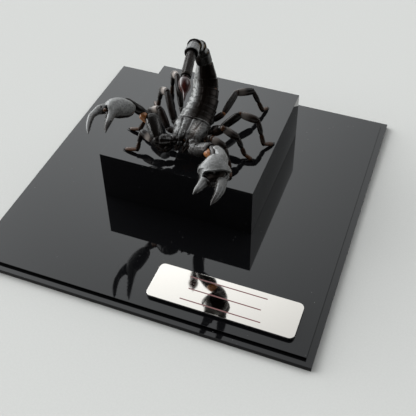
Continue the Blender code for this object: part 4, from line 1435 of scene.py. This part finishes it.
class SCORPION_OT_sting(bpy.types.Operator):
    """Build the sting bulb and its curved point"""
    bl_idname = "scorpion.sting"
    bl_label = "Build sting"

    def execute(self, context):
        look = context.scene.scorpion_look
        finish = cuticle("sting_cuticle", look, look.sting_colour, (0.045, 0.009, 0.005),
                         (0.05, 0.012, 0.006), roughness=0.12, dust=0.0,
                         tip_colour=(0.020, 0.004, 0.002), bump=0.00003)
        piece("sting_bulb", sting_parts(), finish, "telson")
        return {"FINISHED"}


class SCORPION_OT_claws(bpy.types.Operator):
    """Build the two arms with their grainy claws"""
    bl_idname = "scorpion.claws"
    bl_label = "Build claws"

    def execute(self, context):
        look = context.scene.scorpion_look
        finish = cuticle("claw_cuticle", look, look.claw_colour, (0.016, 0.012, 0.009),
                         look.claw_wear_and_highlight, roughness=0.20, dust=0.35, bump=0.00005)
        for side, seed in (("left", 200), ("right", 400)):
            piece("claw_" + side, claw_parts(side, seed), finish, "pincer_" + side)
        return {"FINISHED"}


class SCORPION_OT_legs(bpy.types.Operator):
    """Build the eight walking legs"""
    bl_idname = "scorpion.legs"
    bl_label = "Build legs"

    def execute(self, context):
        look = context.scene.scorpion_look
        finish = cuticle("leg_cuticle", look, look.leg_colour, (0.010, 0.005, 0.0035),
                         look.leg_wear_and_highlight, roughness=0.12, dust=0.9,
                         tip_colour=(0.006, 0.003, 0.002), ior=1.22)
        for number, name in enumerate(LEGS):
            piece(name.replace("leg_", "walking_leg_"), leg_parts(name, 600 + 20 * number), finish,
                  name)
        return {"FINISHED"}


class SCORPION_PT_panel(bpy.types.Panel):
    """Lists the builders and their settings"""
    bl_label = "Mounted scorpion"
    bl_space_type = "VIEW_3D"
    bl_region_type = "UI"
    bl_category = "Scorpion"

    def draw(self, context):
        for look in (context.scene.scorpion_look, context.scene.display_look):
            for setting in look.bl_rna.properties.keys():
                if setting not in ("rna_type", "name"):
                    self.layout.prop(look, setting)
        for builder in BUILDERS:
            self.layout.operator(builder.bl_idname)


BUILDERS = (SCORPION_OT_stage, SCORPION_OT_display, SCORPION_OT_body, SCORPION_OT_tail,
            SCORPION_OT_sting, SCORPION_OT_claws, SCORPION_OT_legs)
CLASSES = (ScorpionLook, DisplayLook, *BUILDERS, SCORPION_PT_panel)


def register():
    """Adds the classes and hangs both groups of settings on the scene."""
    for part in CLASSES:
        bpy.utils.register_class(part)
    bpy.types.Scene.scorpion_look = bpy.props.PointerProperty(type=ScorpionLook)
    bpy.types.Scene.display_look = bpy.props.PointerProperty(type=DisplayLook)


def unregister():
    """Takes away what register added."""
    del bpy.types.Scene.display_look
    del bpy.types.Scene.scorpion_look
    for part in reversed(CLASSES):
        bpy.utils.unregister_class(part)


def main():
    register()
    bpy.ops.scorpion.stage()
    bpy.ops.scorpion.display()
    bpy.ops.scorpion.body()
    bpy.ops.scorpion.tail()
    bpy.ops.scorpion.sting()
    bpy.ops.scorpion.claws()
    bpy.ops.scorpion.legs()


if __name__ == "__main__":
    main()
